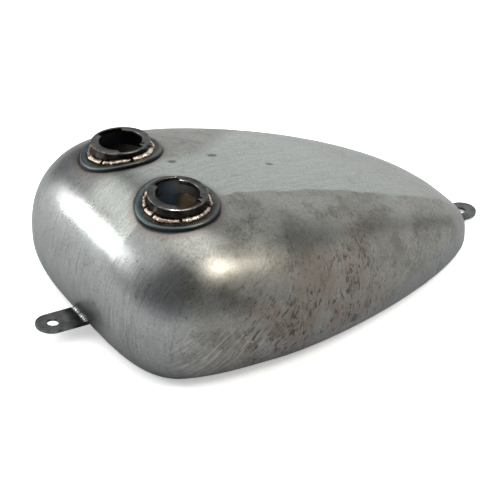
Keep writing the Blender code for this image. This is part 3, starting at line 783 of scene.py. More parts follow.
def buildTab(name, front):
    width, length, place = tabPlace(front)
    half = width / 2.0
    outer = 0.0 if front else form["length"]
    rootX = place.translation.x - form["nose"]
    levels = (-tabs["thickness"] / 2.0, tabs["thickness"] / 2.0)
    outline = []
    for k in range(25):
        y = half * (1.0 - 2.0 * k / 24)
        faces = [endFace(y, place.translation.z + z, outer) for z in levels]
        clear = rootX - min(faces) if front else max(faces) - rootX
        outline.append((clear - tabs["sink"], y))
    for k in range(49):
        turn = radians(-90.0 + 180.0 * k / 48)
        outline.append((length - half + half * cos(turn), half * sin(turn)))
    rows = [[(x, y, z) for x, y in outline] for z in levels]
    piece = addMesh(name, loftBody(rows), place)
    bm = bmesh.new()
    bmesh.ops.create_cone(bm, cap_ends=True, segments=64, radius1=tabs["hole"] / 2.0,
                          radius2=tabs["hole"] / 2.0, depth=4.0 * tabs["thickness"])
    cutter = addMesh(name + "Cutter", bm,
                     place @ Matrix.Translation((length - tabs["holeFromTip"], 0.0, 0.0)))
    addCut(piece, cutter)
    soft = piece.modifiers.new("edges", "BEVEL")
    soft.width = tabs["edge"]
    soft.segments = 3
    soft.angle_limit = radians(40.0)
    bakeModifiers(piece)
    bpy.data.objects.remove(cutter, do_unlink=True)
    smoothShade(piece, 40.0)
    return piece, length, width, place


frontTab, frontLength, frontWidth, frontPlace = buildTab("front_tab_plate", True)
rearTab, rearLength, rearWidth, rearPlace = buildTab("rear_tab_plate", False)
rideRoot(frontTab, "mill_scale_tab_steel", "front_mount_tab")
rideRoot(rearTab, "mill_scale_tab_steel", "rear_mount_tab")

# weld beads

weld = {
    # width, height and the pitch of the ripples
    "tab": (0.0088, 0.0042, 0.0034),
    "floor": (0.0036, 0.0012, 0.0022),
    "channel": (0.0034, 0.0012, 0.0022),
    "bung": (0.0036, 0.0011, 0.0024),
    "rippleDepth": 0.14,
    "lump": 0.18,
    "sides": 14,
}

downward = Vector((0.0, 0.0, -1.0))


def buildBead(name, path, up, sizes, closed=False, phase=0.0):
    # a bead laid along path; it stands along up, and its ripples are thin overlapping scales
    width, height, ripple = sizes
    count = len(path)
    run = 0.0
    rows = []
    for i in range(count):
        before = path[(i - 1) % count] if closed or i else path[i]
        after = path[(i + 1) % count] if closed or i < count - 1 else path[i]
        ahead = (after - before).normalized()
        if i:
            run += (path[i] - path[i - 1]).length
        out = ahead.cross(up).normalized()
        scale = (run / ripple + 0.12 * noise.noise(path[i] * 300.0)) % 1.0
        size = 1.0 - weld["rippleDepth"] * scale ** 1.6
        size *= 1.0 + weld["lump"] * noise.noise(path[i] * 170.0 + Vector((phase, 0.0, 0.0)))
        if not closed:
            fromEnd = min(i, count - 1 - i) / max(count * 0.06, 1.0)
            size *= 0.25 + 0.75 * sin(min(fromEnd, 1.0) * pi / 2.0) ** 0.5
        ring = []
        for k in range(weld["sides"]):
            turn = 2.0 * pi * k / weld["sides"]
            ring.append(path[i] + out * (cos(turn) * width / 2.0 * size)
                        + up * (sin(turn) * height * size))
        rows.append(ring)
    piece = addMesh(name, loftBody(rows, closedRows=closed))
    smoothShade(piece, 60.0)
    return piece


def resample(points, spacing):
    lengths = [0.0]
    for a, b in zip(points, points[1:]):
        lengths.append(lengths[-1] + (b - a).length)
    count = max(int(lengths[-1] / spacing), 4)
    spaced = []
    segment = 0
    for i in range(count + 1):
        target = lengths[-1] * i / count
        while segment < len(points) - 2 and lengths[segment + 1] < target:
            segment += 1
        share = (target - lengths[segment]) / max(lengths[segment + 1] - lengths[segment], 1e-9)
        spaced.append(points[segment].lerp(points[segment + 1], share))
    return spaced


def tabBead(name, width, place, front):
    # bead in the corner of a tab's top and the shell
    outer = 0.0 if front else form["length"]
    way = -1.0 if front else 1.0
    top = place.translation.z + tabs["thickness"] / 2.0
    reach = width / 2.0 - 0.0012
    points = []
    for k in range(41):
        y = -reach + 2.0 * reach * k / 40
        points.append(Vector((form["nose"] + endFace(y, top + 0.0006, outer), y, top + 0.0004)))
    path = resample(points, 0.0003)
    up = Vector((way * 0.55, 0.0, 0.83)).normalized()
    return buildBead(name, path, up, weld["tab"], phase=outer)


frontBead = tabBead("front_tab_bead", frontWidth, frontPlace, True)
rearBead = tabBead("rear_tab_bead", rearWidth, rearPlace, False)
rideRoot(frontBead, "weld_bead_steel", "front_tab_weld")
rideRoot(rearBead, "weld_bead_steel", "rear_tab_weld")


def clipOutline(outline, innerY):
    kept = []
    for (x0, y0), (x1, y1) in zip(outline, outline[1:]):
        if y0 >= innerY:
            kept.append((x0, y0))
        if (y0 - innerY) * (y1 - innerY) < 0.0:
            share = (innerY - y0) / (y1 - y0)
            kept.append((x0 + (x1 - x0) * share, innerY))
    return kept


def underBeads(side, sign):
    # beads in the corners of floor pan, base lip and channel, seen from below
    floorZ = form["sheet"] + base["gap"]
    outline = clipOutline(baseOutline(base["lip"] + 0.0007), channelEdge)
    path = resample([Vector((x, y * sign, floorZ - 0.0002)) for x, y in outline], 0.0005)
    edge = buildBead(side + "_floor_bead", path, downward, weld["floor"], phase=sign)
    y = sign * (channelEdge + 0.0006)
    ends = [Vector((outline[0][0] + 0.001, y, floorZ - 0.0002)),
            Vector((outline[-1][0] - 0.001, y, floorZ - 0.0002))]
    path = resample(ends, 0.0005)
    along = buildBead(side + "_channel_bead", path, downward, weld["channel"], phase=sign + 5.0)
    rideRoot(edge, "weld_bead_steel", side + "_floor_weld")
    rideRoot(along, "weld_bead_steel", side + "_channel_weld")
    return edge, along


beads = [frontBead, rearBead, *underBeads("left", -1.0), *underBeads("right", 1.0)]

# petcock bung

bung = {
    "boreDepth": 0.00725,
    "threadPitch": 0.00141,
    "threadDepth": 0.0005,
    "chamfer": 0.0008,
    "steps": 96,
}


def buildBung():
    low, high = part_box("petcock_bung")
    radius = (high.x - low.x) / 2.0
    middle = Matrix.Translation(((low.x + high.x) / 2.0, (low.y + high.y) / 2.0, low.z))
    tall = high.z - low.z
    chamfer = bung["chamfer"]
    bore = bung["boreDepth"]
    turns = int((tall - 2.0 * chamfer) / bung["threadPitch"] * 4)
    rows = []
    for i in range(bung["steps"]):
        turn = 2.0 * pi * i / bung["steps"]
        ring = [(radius, chamfer), (radius, tall - chamfer), (radius - chamfer, tall),
                (bore + chamfer, tall)]
        for k in range(turns + 1):
            z = tall - chamfer - (tall - 2.0 * chamfer) * k / turns
            cycle = (z / bung["threadPitch"] + turn / (2.0 * pi)) % 1.0
            ring.append((bore + bung["threadDepth"] * abs(2.0 * cycle - 1.0), z))
        ring += [(bore + chamfer, 0.0), (radius - chamfer, 0.0)]
        rows.append(spun(ring, turn))
    piece = addMesh("petcock_bung_turned", loftBody(rows, closedRows=True), middle)
    smoothShade(piece, 30.0)
    path = []
    for i in range(160):
        turn = 2.0 * pi * i / 160
        spot = spun([(radius + 0.0008, form["sheet"] - low.z)], turn)[0]
        path.append(middle.translation + Vector(spot))
    ring = buildBead("petcock_bung_bead", path, downward, weld["bung"], closed=True, phase=3.0)
    return piece, ring


bungPiece, bungBead = buildBung()
rideRoot(bungPiece, "turned_bung_steel", "petcock_bung")
rideRoot(bungBead, "weld_bead_steel", "petcock_bung_weld")
beads.append(bungBead)
print("tabs, welds and bung built")

# shading helpers, all working on the node tree that startFinish opened last
bench = {}


def put(kind, **settings):
    node = bench["tree"].nodes.new(kind)
    for key, value in settings.items():
        setattr(node, key, value)
    return node


def feed(socket, value):
    if isinstance(value, bpy.types.NodeSocket):
        bench["tree"].links.new(value, socket)
    elif socket.type == "RGBA":
        socket.default_value = (*value, 1.0)
    else:
        socket.default_value = value


def calc(operation, *values):
    node = put("ShaderNodeMath", operation=operation)
    for socket, value in zip(node.inputs, values):
        feed(socket, value)
    return node.outputs[0]


def times(first, *others):
    for other in others:
        first = calc("MULTIPLY", first, other)
    return first


def plus(first, *others):
    for other in others:
        first = calc("ADD", first, other)
    return first


def minus(a, b):
    return calc("SUBTRACT", a, b)


def vectorCalc(operation, *values):
    node = put("ShaderNodeVectorMath", operation=operation)
    for socket, value in zip(node.inputs, values):
        feed(socket, value)
    return node.outputs["Value" if operation == "LENGTH" else "Vector"]


def axes(coords):
    node = put("ShaderNodeSeparateXYZ")
    feed(node.inputs[0], coords)
    return node.outputs[0], node.outputs[1], node.outputs[2]


def joined(x, y, z):
    node = put("ShaderNodeCombineXYZ")
    for socket, value in zip(node.inputs, (x, y, z)):
        feed(socket, value)
    return node.outputs[0]


def fromAxis(x, y):
    return vectorCalc("LENGTH", joined(x, y, 0.0))


def cloud(coords, scale, detail=4.0, rough=0.55, twist=0.0, shift=(0.0, 0.0, 0.0)):
    # noise from 0 to 1; scale is a number or one for each axis
    if not isinstance(scale, float):
        coords = vectorCalc("MULTIPLY", coords, scale)
        scale = 1.0
    node = put("ShaderNodeTexNoise")
    feed(node.inputs["Vector"], vectorCalc("ADD", coords, shift))
    for key, value in (("Scale", scale), ("Detail", detail), ("Roughness", rough), ("Distortion", twist)):
        node.inputs[key].default_value = value
    return node.outputs["Fac"]


def around(pattern, swing):
    # a pattern from 0 to 1 made to swing either side of nothing
    return times(minus(pattern, 0.5), swing)


def pits(coords, scale):
    # distance to the nearest of scattered points
    node = put("ShaderNodeTexVoronoi")
    feed(node.inputs["Vector"], coords)
    node.inputs["Scale"].default_value = scale
    return node.outputs["Distance"]


def between(value, low, high):
    # smooth step; low above high runs the other way
    node = put("ShaderNodeMapRange", interpolation_type="SMOOTHSTEP")
    feed(node.inputs["Value"], value)
    if low > high:
        low, high = high, low
        node.inputs["To Min"].default_value = 1.0
        node.inputs["To Max"].default_value = 0.0
    node.inputs["From Min"].default_value = low
    node.inputs["From Max"].default_value = high
    return node.outputs["Result"]


def byPlace(value, stops):
    # a number that runs smoothly through (place, number) stops
    result = stops[0][1]
    for (low, before), (high, after) in zip(stops, stops[1:]):
        result = plus(times(between(value, low, high), after - before), result)
    return result


def tone(share, a, b, mode="MIX"):
    node = put("ShaderNodeMix", data_type="RGBA", blend_type=mode, clamp_factor=True)
    for socket, value in zip((node.inputs["Factor"], node.inputs[6], node.inputs[7]), (share, a, b)):
        feed(socket, value)
    return node.outputs[2]


def over(colour, shade, *masks):
    # a shade laid on a colour where all its masks are high
    return tone(times(*masks), colour, shade)


def relief(height, depth, strength, before=None):
    node = put("ShaderNodeBump")
    feed(node.inputs["Height"], height)
    node.inputs["Distance"].default_value = depth
    node.inputs["Strength"].default_value = strength
    if before is not None:
        feed(node.inputs["Normal"], before)
    return node.outputs["Normal"]


def startFinish(name):
    made = bpy.data.materials.get(name) or bpy.data.materials.new(name)
    made.use_nodes = True
    bench["tree"] = made.node_tree
    return made, put("ShaderNodeTexCoord").outputs["Object"]


def endFinish(made, colour, rough, normal, metal=1.0):
    shader = made.node_tree.nodes["Principled BSDF"]
    feed(shader.inputs["Base Color"], colour)
    feed(shader.inputs["Metallic"], metal)
    feed(shader.inputs["Roughness"], rough)
    feed(shader.inputs["Normal"], normal)
    return made


def dress(piece, finish):
    slots = piece.data.materials
    if not slots:
        slots.append(finish)
    for index in range(len(slots)):
        slots[index] = finish


shellFinish = {
    "steel": (0.262, 0.258, 0.238),       # drawn sheet, warm grey
    "pale": (0.335, 0.332, 0.308),
    "smoke": (0.165, 0.155, 0.138),       # brownish blotches
    "cool": (0.235, 0.250, 0.262),        # cooler steel low on the sides and nose
    "ground": (0.445, 0.464, 0.440),      # strip ground along the centre weld
    "groundDark": (0.365, 0.381, 0.360),
    "rust": (0.042, 0.033, 0.027),
    "haze": (0.190, 0.138, 0.112),        # thin rust film
    "rubbed": (0.400, 0.392, 0.362),
    # burn marks; also the painted shadow line at each saddle's foot
    "burntAndShade": (0.040, 0.035, 0.034),
    "tintBrown": (0.180, 0.128, 0.100),
    "tintBlue": (0.100, 0.112, 0.150),
    "roughness": 0.33,
    "groundRoughness": 0.27,
    # half widths of the ground strip along the tank, left and right of the centre weld
    "leftHalf": ((0.10, 0.061), (0.27, 0.026)),
    "rightHalf": ((-0.222, 0.055), (-0.196, 0.020), (-0.090, 0.020), (0.040, 0.095), (0.27, 0.040)),
    "stripShare": ((0.02, 1.0), (0.13, 0.76), (0.21, 0.58)),
    # x, y or z, and reach
    "smudges": ((-0.058, 0.019, 0.0075), (-0.003, -0.006, 0.0055), (-0.1085, 0.013, 0.0070)),
    "rustSpots": ((-0.036, 0.092, 0.040), (0.012, 0.078, 0.026), (-0.062, 0.058, 0.030)),
    "frontLean": 0.95,                    # slant of the wipe marks on the front flank
    "rearLean": 0.22,
    # brazing heat round a filler, the last dark ring partly a painted shadow line at the saddle's foot:
    # start, full, share and shade
    "brazeHeatAndFootShade": ((0.053, 0.044, 0.45, "tintBrown"), (0.0462, 0.0440, 0.40, "tintBlue"),
                  (0.0446, 0.0430, 0.90, "burntAndShade")),
    "frontTabHeat": 0.024,
    "rearTabHeat": 0.020,
}


def slanted(coords, lean):
    x, y, z = axes(coords)
    return joined(minus(x, times(z, lean)), y, z)


def groundStrip(coords):
    # share of the ground strip: wide, drawn in between the fillers, ragged at its edges
    x, y, z = axes(coords)
    left = byPlace(x, shellFinish["leftHalf"])
    right = byPlace(x, shellFinish["rightHalf"])
    onRight = calc("GREATER_THAN", y, 0.0)
    half = plus(left, times(onRight, minus(right, left)))
    wave = around(cloud(coords, 15.0, 2.0, 0.5, shift=(1.0, 9.0, 4.0)), 0.012)
    fray = around(cloud(coords, (60.0, 400.0, 60.0), 4.0, 0.7, shift=(4.0, 1.0, 2.0)), 0.014)
    past = minus(plus(calc("ABSOLUTE", y), wave, fray), half)
    past = calc("DIVIDE", past, plus(1.0, times(onRight, 8.0)))
    faded = calc("MAXIMUM", between(x, -0.210, -0.190), between(z, 0.096, 0.128))
    return times(between(past, 0.0018, -0.0012), byPlace(x, shellFinish["stripShare"]), faded)


def sheetSteel():
    # bare drawn sheet: wipe marks, blotches, rust drips, a ground centre strip, and weld heat with a
    # painted shadow line at each saddle's foot
    look = shellFinish
    made, coords = startFinish("bareSheetSteel")
    x, y, z = axes(coords)
    atNose = between(x, -0.165, -0.200)
    leans = [slanted(coords, look[key]) for key in ("frontLean", "rearLean")]

    # short wipe marks: up and down the nose, slanted on the front flank, upright by the tail
    noseMarks = cloud(coords, (30.0, 480.0, 30.0), 5.0, 0.7, 0.2, shift=(2.0, 0.0, 6.0))
    sideMarks = [cloud(lean, (420.0, 260.0, 80.0), 5.0, 0.7, 1.1) for lean in leans]
    marks = tone(atNose, tone(between(x, -0.030, 0.050), *sideMarks), noseMarks)
    blotch = cloud(coords, 15.0, 5.0, 0.6, 0.4)
    patch = cloud(coords, 46.0, 5.0, 0.68, 0.3, shift=(7.0, 0.0, 2.0))
    grain = cloud(coords, 420.0, 4.0, 0.75)

    colour = tone(between(blotch, 0.34, 0.66), look["steel"], look["pale"])
    colour = over(colour, look["smoke"], between(patch, 0.48, 0.64), 0.62)
    cool = calc("MAXIMUM", between(z, 0.055, 0.015), times(atNose, 0.8))
    colour = over(colour, look["cool"], cool, 0.75)
    gathered = cloud(coords, 20.0, 3.0, 0.55, 0.3, shift=(9.0, 4.0, 4.0))
    markShare = plus(0.34, times(between(gathered, 0.42, 0.60), 0.46))
    colour = over(colour, look["smoke"], between(marks, 0.50, 0.64), markShare)
    colour = over(colour, look["pale"], between(marks, 0.45, 0.34), markShare)

    # pale rubbed strokes low on the front corners
    strokes = cloud(leans[0], (190.0, 60.0, 34.0), 3.0, 0.6, 0.5, shift=(8.0, 2.0, 3.0))
    corner = times(between(z, 0.088, 0.066), between(x, -0.085, -0.125), between(x, -0.206, -0.186))
    colour = over(colour, look["rubbed"], between(strokes, 0.53, 0.58), corner,
                  between(gathered, 0.40, 0.52), 0.85)

    # rust film, drips and specks on the flanks
    flank = times(between(z, 0.128, 0.104), between(z, 0.004, 0.022), between(x, -0.175, -0.115),
                  between(x, 0.110, 0.010))
    stained = cloud(coords, 24.0, 4.0, 0.6, 0.3, shift=(5.0, 5.0, 8.0))
    film = times(between(stained, 0.42, 0.62), flank)
    for placeX, placeZ, reach in look["rustSpots"]:
        away = plus(fromAxis(minus(x, placeX), minus(z, placeZ)), around(stained, 0.05))
        film = calc("MAXIMUM", film, between(away, reach, reach * 0.4))
    speckled = plus(0.35, times(between(grain, 0.42, 0.60), 0.65))
    colour = over(colour, look["haze"], film, speckled, 0.72)
    runs = [cloud(lean, (185.0, 70.0, 25.0), 3.0, 0.6, 0.7, shift=shift)
            for lean, shift in zip(leans, ((0.0, 3.0, 0.0), (6.0, 0.0, 2.0)))]
    drips = tone(between(x, -0.085, -0.045), *runs)
    drips = between(calc("ABSOLUTE", minus(drips, 0.5)), 0.042, 0.018)
    broken = between(cloud(coords, 170.0, 3.0, 0.6, shift=(1.0, 1.0, 7.0)), 0.44, 0.54)
    drips = times(drips, broken, between(stained, 0.38, 0.52), flank)
    colour = over(colour, look["rust"], drips, 0.88)
    colour = over(colour, look["rust"], between(pits(coords, 210.0), 0.24, 0.12),
                  between(patch, 0.47, 0.60), 0.60)

    # strip ground flat along the centre weld, its grain along the tank
    strip = groundStrip(coords)
    lengthways = cloud(coords, (26.0, 560.0, 26.0), 4.0, 0.7, shift=(2.0, 0.0, 1.0))
    skewed = vectorCalc("ADD", coords, joined(0.0, times(x, -0.32), 0.0))
    slantways = cloud(skewed, (20.0, 420.0, 20.0), 3.0, 0.6, shift=(0.0, 5.0, 3.0))
    grinding = times(plus(lengthways, slantways), 0.5)
    groundTone = tone(between(grinding, 0.36, 0.62), look["groundDark"], look["ground"])
    groundTone = over(groundTone, look["smoke"], between(patch, 0.56, 0.76), 0.35)
    colour = over(colour, groundTone, strip, 0.92)
    for placeX, placeY, reach in look["smudges"]:
        away = plus(fromAxis(minus(x, placeX), times(minus(y, placeY), 1.7)), around(grain, 0.010))
        smudge = times(between(away, reach, reach * 0.5), between(z, 0.06, 0.08))
        colour = over(colour, look["burntAndShade"], smudge, 0.75)
    grainTone = plus(0.50, grain)
    colour = tone(1.0, colour, joined(grainTone, grainTone, grainTone), "MULTIPLY")

    # heat of the brazing round each filler, its dark inner ring partly a painted shadow line at the
    # saddle's foot, and heat of the tab welds at the nose and the tail
    wander = around(patch, 0.008)
    away = [fromAxis(minus(x, place.translation.x), minus(y, place.translation.y))
            for place in fillerPlaces.values()]
    heat = plus(calc("MINIMUM", *away), times(wander, 0.6))
    onTop = between(z, 0.12, 0.14)
    for reach, fade, share, shade in look["brazeHeatAndFootShade"]:
        colour = over(colour, look[shade], between(heat, reach, fade), onTop, share)
    for place, reach in ((frontPlace, look["frontTabHeat"]), (rearPlace, look["rearTabHeat"])):
        away = vectorCalc("LENGTH", vectorCalc("SUBTRACT", coords, tuple(place.translation)))
        colour = over(colour, look["burntAndShade"], between(plus(away, wander), reach, reach * 0.60), 0.32)

    polished = times(strip, look["groundRoughness"] - look["roughness"])
    rough = plus(look["roughness"] - 0.08, times(blotch, 0.16), times(drips, 0.20), polished)
    brushed = tone(strip, marks, plus(0.3, times(grinding, 0.4)))
    normal = relief(grain, 0.00008, 0.45, relief(brushed, 0.00014, 0.45))
    normal = relief(patch, 0.0005, 0.25, normal)
    return endFinish(made, colour, rough, normal, minus(1.0, times(drips, 0.20)))


insideFinish = {
    "scale": (0.080, 0.076, 0.070),
    "oiled": (0.040, 0.038, 0.036),
    "blue": (0.220, 0.340, 0.480),
    "bronze": (0.560, 0.470, 0.345),
    "roughness": 0.42,
    "metal": 0.15,
}


def insideSteel():
    # inner face of the sheet: dull scale, with blue and bronze weld heat low on the walls
    look = insideFinish
    made, coords = startFinish("insideSheetSteel")
    x, _, z = axes(coords)
    mottle = cloud(coords, 34.0, 4.0, 0.6, 0.4)
    colour = tone(between(mottle, 0.36, 0.66), look["scale"], look["oiled"])
    level = plus(minus(z, times(x, 0.8)), around(mottle, 0.020))
    colour = over(colour, look["bronze"], between(level, 0.036, 0.026), 0.9)
    colour = over(colour, look["blue"], between(level, 0.062, 0.050), between(level, 0.030, 0.038))
    rough = plus(look["roughness"] - 0.08, times(mottle, 0.16))
    return endFinish(made, colour, rough, relief(mottle, 0.0008, 0.3), look["metal"])


neckFinish = {
    "blued": (0.044, 0.048, 0.050),
    "brown": (0.092, 0.078, 0.068),
    "scuffed": (0.175, 0.170, 0.158),
    "wearAndSheen": (0.430, 0.425, 0.405),
    "heatBlue": (0.045, 0.075, 0.105),
    # painted shade inside the bore
    "boreShade": (0.012, 0.013, 0.014),
    # radians round the bore: start, full, fading, gone, and the colour
    "boreHeat": ((0.30, 0.95, 1.05, 1.60, (0.022, 0.019, 0.016)),
                 (1.25, 1.65, 1.70, 2.20, (0.013, 0.022, 0.031))),
    "roughness": 0.30,
}


def bluedSteel():
    # neck: oven-dark steel with bright worn edges on the lip, partly a painted highlight, painted shade
    # down the bore, and heat streaks in the bore
    look = neckFinish
    made, coords = startFinish("bluedNeckSteel")
    x, y, z = axes(coords)
    radius = fromAxis(x, y)
    top = filler["height"]
    mottle = cloud(coords, 150.0, 5.0, 0.65)
    smear = cloud(coords, 52.0, 4.0, 0.6, 0.6, shift=(4.0, 4.0, 0.0))
    colour = tone(between(mottle, 0.35, 0.70), look["blued"], look["brown"])
    onLip = between(z, top - 0.0012, top - 0.0003)
    colour = over(colour, look["scuffed"], onLip, between(smear, 0.36, 0.62), 0.55)
    colour = over(colour, look["heatBlue"], between(smear, 0.55, 0.70), 0.5)
    # lip edges: wear with a painted highlight along them
    edges = calc("MAXIMUM", between(radius, 0.0296, 0.0302), between(radius, 0.0232, 0.0225))
    colour = over(colour, look["wearAndSheen"], edges, between(z, top - 0.0022, top - 0.0010),
                  between(mottle, 0.40, 0.60), 0.45)
    turn = plus(calc("ARCTAN2", y, x), times(smear, 0.5))
    inBore = times(between(radius, 0.0285, 0.0281), between(z, top - 0.003, top - 0.007))
    # painted shade down the inside of the bore
    colour = over(colour, look["boreShade"], inBore, 0.85)
    for start, full, fading, gone, shade in look["boreHeat"]:
        colour = over(colour, shade, between(turn, start, full), between(turn, gone, fading),
                      between(z, 0.006, -0.006), inBore, between(mottle, 0.30, 0.55))
    rough = plus(look["roughness"] - 0.06, times(mottle, 0.22))
    rings = joined(times(radius, 2600.0), times(z, 2600.0), 0.0)
    normal = relief(mottle, 0.0003, 0.35, relief(cloud(rings, 1.0, 2.0), 0.00005, 0.6))
    return endFinish(made, colour, rough, normal, minus(1.0, times(inBore, 0.3)))


saddleFinish = {
    "dark": (0.052, 0.058, 0.055),
    "tealTintAndHighlight": (0.082, 0.122, 0.125),
    "grey": (0.125, 0.132, 0.126),
    "sootAndShade": (0.016, 0.015, 0.015),
    "roughness": 0.34,
}


def tintedSaddle():
    # saddle: dark scale in the valley; heat tint with a painted highlight on the rolled rim, teal on its
    # left side; soot with painted shade at its foot and in the groove by the brass
    look = saddleFinish
    made, coords = startFinish("heatTintedSaddle")
    x, y, _ = axes(coords)
    mottle = cloud(coords, 110.0, 5.0, 0.68)
    smear = cloud(coords, 32.0, 3.0, 0.5, 0.5, shift=(2.0, 6.0, 1.0))
    radius = plus(fromAxis(x, y), around(mottle, 0.0012))
    colour = tone(between(mottle, 0.38, 0.68), look["dark"], look["grey"])
    # painted highlight on the rolled rim over its heat tint: lighter grey, teal towards the left side
    toLeft = plus(times(x, -9.0), times(smear, 0.9))
    rimTintAndHighlight = tone(between(toLeft, 0.42, 0.75), look["grey"], look["tealTintAndHighlight"])
    colour = over(colour, rimTintAndHighlight, between(radius, 0.0370, 0.0395), between(radius, 0.0426, 0.0414), 0.8)
    # soot with painted shade: a dark line at the saddle's foot and in the groove by the brass
    colour = over(colour, look["sootAndShade"], between(radius, 0.0418, 0.0428), 0.95)
    colour = over(colour, look["sootAndShade"], between(radius, 0.0368, 0.0354), 0.75)
    rough = plus(look["roughness"] - 0.08, times(mottle, 0.28))
    fine = relief(cloud(coords, 420.0, 3.0, 0.6), 0.00010, 0.5)
    return endFinish(made, colour, rough, relief(mottle, 0.0006, 0.5, fine))


brazeFinish = {
    "gold": (0.520, 0.400, 0.280),
    "pale": (0.800, 0.700, 0.570),
    "copper": (0.300, 0.185, 0.125),
    "flux": (0.030, 0.026, 0.024),
    "roughness": 0.24,
    "breakEdge": 3.4,          # degrees from the middle of a break
    "breakDark": 1.6,
}


def fillerBrass(side):
    # brazing brass, darkened by flux at the breaks and in spots
    look = brazeFinish
    made, coords = startFinish(side + "FillerBrass")
    x, y, _ = axes(coords)
    mottle = cloud(coords, 210.0, 4.0, 0.6)
    smear = cloud(coords, 60.0, 3.0, 0.5, 0.4, shift=(braze[side]["phase"], 0.0, 0.0))
    colour = tone(between(smear, 0.38, 0.64), look["gold"], look["pale"])
    colour = over(colour, look["copper"], between(mottle, 0.52, 0.66), 0.80)
    colour = over(colour, look["flux"], between(cloud(coords, 330.0, 3.0, 0.6), 0.58, 0.66))
    fluxed = plus(fromAxis(x, y), around(smear, 0.009))
    colour = over(colour, look["flux"], between(fluxed, 0.0322, 0.0312))
    turn = calc("ARCTAN2", y, x)
    edge, dark = (cos(radians(look[key])) for key in ("breakEdge", "breakDark"))
    breaks = 0.0
    for middle in braze[side]["breaks"]:
        facing = calc("COSINE", minus(turn, radians(middle)))
        breaks = calc("MAXIMUM", breaks, between(facing, edge, dark))
    colour = over(colour, look["flux"], breaks)
    rough = plus(look["roughness"] - 0.05, times(mottle, 0.22))
    return endFinish(made, colour, rough, relief(mottle, 0.0005, 0.6))


tabFinish = {
    "scale": (0.095, 0.100, 0.095),
    "grey": (0.180, 0.188, 0.180),
    "sootAndShade": (0.012, 0.012, 0.013),
    "wearAndSheen": (0.330, 0.340, 0.335),
    "roughness": 0.40,
}


def millScale(name, length, width):
    # hot-rolled plate: dark scale, worn edges, darker towards its weld from weld heat and painted shade of
    # the tank
    look = tabFinish
    made, coords = startFinish(name)
    x, y, _ = axes(coords)
    mottle = cloud(coords, 85.0, 5.0, 0.6)
    fine = cloud(coords, (120.0, 900.0, 400.0), 3.0, 0.6)
    colour = tone(between(mottle, 0.36, 0.66), look["scale"], look["grey"])
    colour = over(colour, look["wearAndSheen"], between(fine, 0.58, 0.70), 0.30)
    # weld heat with painted shade of the tank, darkest at the root
    rootHeatAndShade = between(plus(x, times(mottle, 0.006)), length * 0.48, length * 0.20)
    colour = over(colour, look["sootAndShade"], rootHeatAndShade, 0.85)
    onEdge = between(calc("ABSOLUTE", y), width / 2.0 - 0.0009, width / 2.0 - 0.0001)
    colour = over(colour, look["wearAndSheen"], onEdge, between(mottle, 0.40, 0.60), 0.45)
    rough = plus(look["roughness"] - 0.06, times(mottle, 0.24))
    return endFinish(made, colour, rough, relief(mottle, 0.0003, 0.4, relief(fine, 0.00005, 0.5)))


beadFinish = {
    "silver": (0.480, 0.500, 0.490),
    "crust": (0.040, 0.040, 0.042),
    "straw": (0.400, 0.350, 0.260),
    "violet": (0.140, 0.120, 0.150),
    "roughness": 0.27,
}


def weldSteel():
    # fresh bead: silver scales with straw and violet heat between them, and dark crust
    look = beadFinish
    made, coords = startFinish("weldBeadSteel")
    smear = cloud(coords, 240.0, 3.0, 0.6)
    crust = between(cloud(coords, 330.0, 3.0, 0.6, shift=(3.0, 0.0, 3.0)), 0.56, 0.64)
    colour = tone(between(smear, 0.52, 0.70), look["silver"], look["straw"])
    colour = over(colour, look["violet"], between(smear, 0.44, 0.30), 0.6)
    colour = over(colour, look["crust"], crust, 0.85)
    rough = plus(look["roughness"] - 0.05, times(smear, 0.20))
    return endFinish(made, colour, rough, relief(cloud(coords, 900.0, 3.0), 0.0001, 0.6))


floorFinish = {
    "steel": (0.300, 0.295, 0.285),
    "pale": (0.380, 0.380, 0.372),
    "oil": (0.160, 0.150, 0.138),
    "roughness": 0.36,
}


def floorSteel():
    # rolled floor sheet: lengthways grain with oil stains
    look = floorFinish
    made, coords = startFinish("floorSheetSteel")
    rolled = cloud(coords, (12.0, 640.0, 640.0), 3.0, 0.6)
    stain = cloud(coords, 22.0, 5.0, 0.6, 0.5)
    colour = tone(between(rolled, 0.35, 0.68), look["steel"], look["pale"])
    colour = over(colour, look["oil"], between(stain, 0.50, 0.70), 0.7)
    rough = plus(look["roughness"] - 0.08, times(stain, 0.22))
    return endFinish(made, colour, rough, relief(stain, 0.0008, 0.3, relief(rolled, 0.00006, 0.5)))


bungFinish = {
    "turned": (0.330, 0.330, 0.325),
    "dark": (0.120, 0.118, 0.115),
    "roughness": 0.28,
}


def turnedSteel():
    # bung: fine turning marks round its axis
    look = bungFinish
    made, coords = startFinish("turnedBungSteel")
    x, y, z = axes(coords)
    marks = cloud(joined(times(fromAxis(x, y), 3000.0), times(z, 3000.0), 0.0), 1.0, 2.0)
    colour = tone(between(cloud(coords, 160.0, 4.0), 0.45, 0.70), look["turned"], look["dark"])
    rough = plus(look["roughness"] - 0.05, times(marks, 0.20))
    return endFinish(made, colour, rough, relief(marks, 0.00006, 0.7))


sheetSteel()
insideSteel()
neckSteel = bluedSteel()
saddleSteel = tintedSaddle()
for side, (neck, ringPiece, fillet) in fillerPieces.items():
    dress(neck, neckSteel)
    dress(ringPiece, saddleSteel)
    dress(fillet, fillerBrass(side))
dress(frontTab, millScale("frontTabScale", frontLength, frontWidth))
dress(rearTab, millScale("rearTabScale", rearLength, rearWidth))
beadSteel = weldSteel()
for bead in beads:
    dress(bead, beadSteel)
panSteel = floorSteel()
for sheet in (channel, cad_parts["left_floor_pan"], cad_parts["right_floor_pan"]):
    dress(sheet, panSteel)
dress(bungPiece, turnedSteel())
print("finishes made:", len(bpy.data.materials))

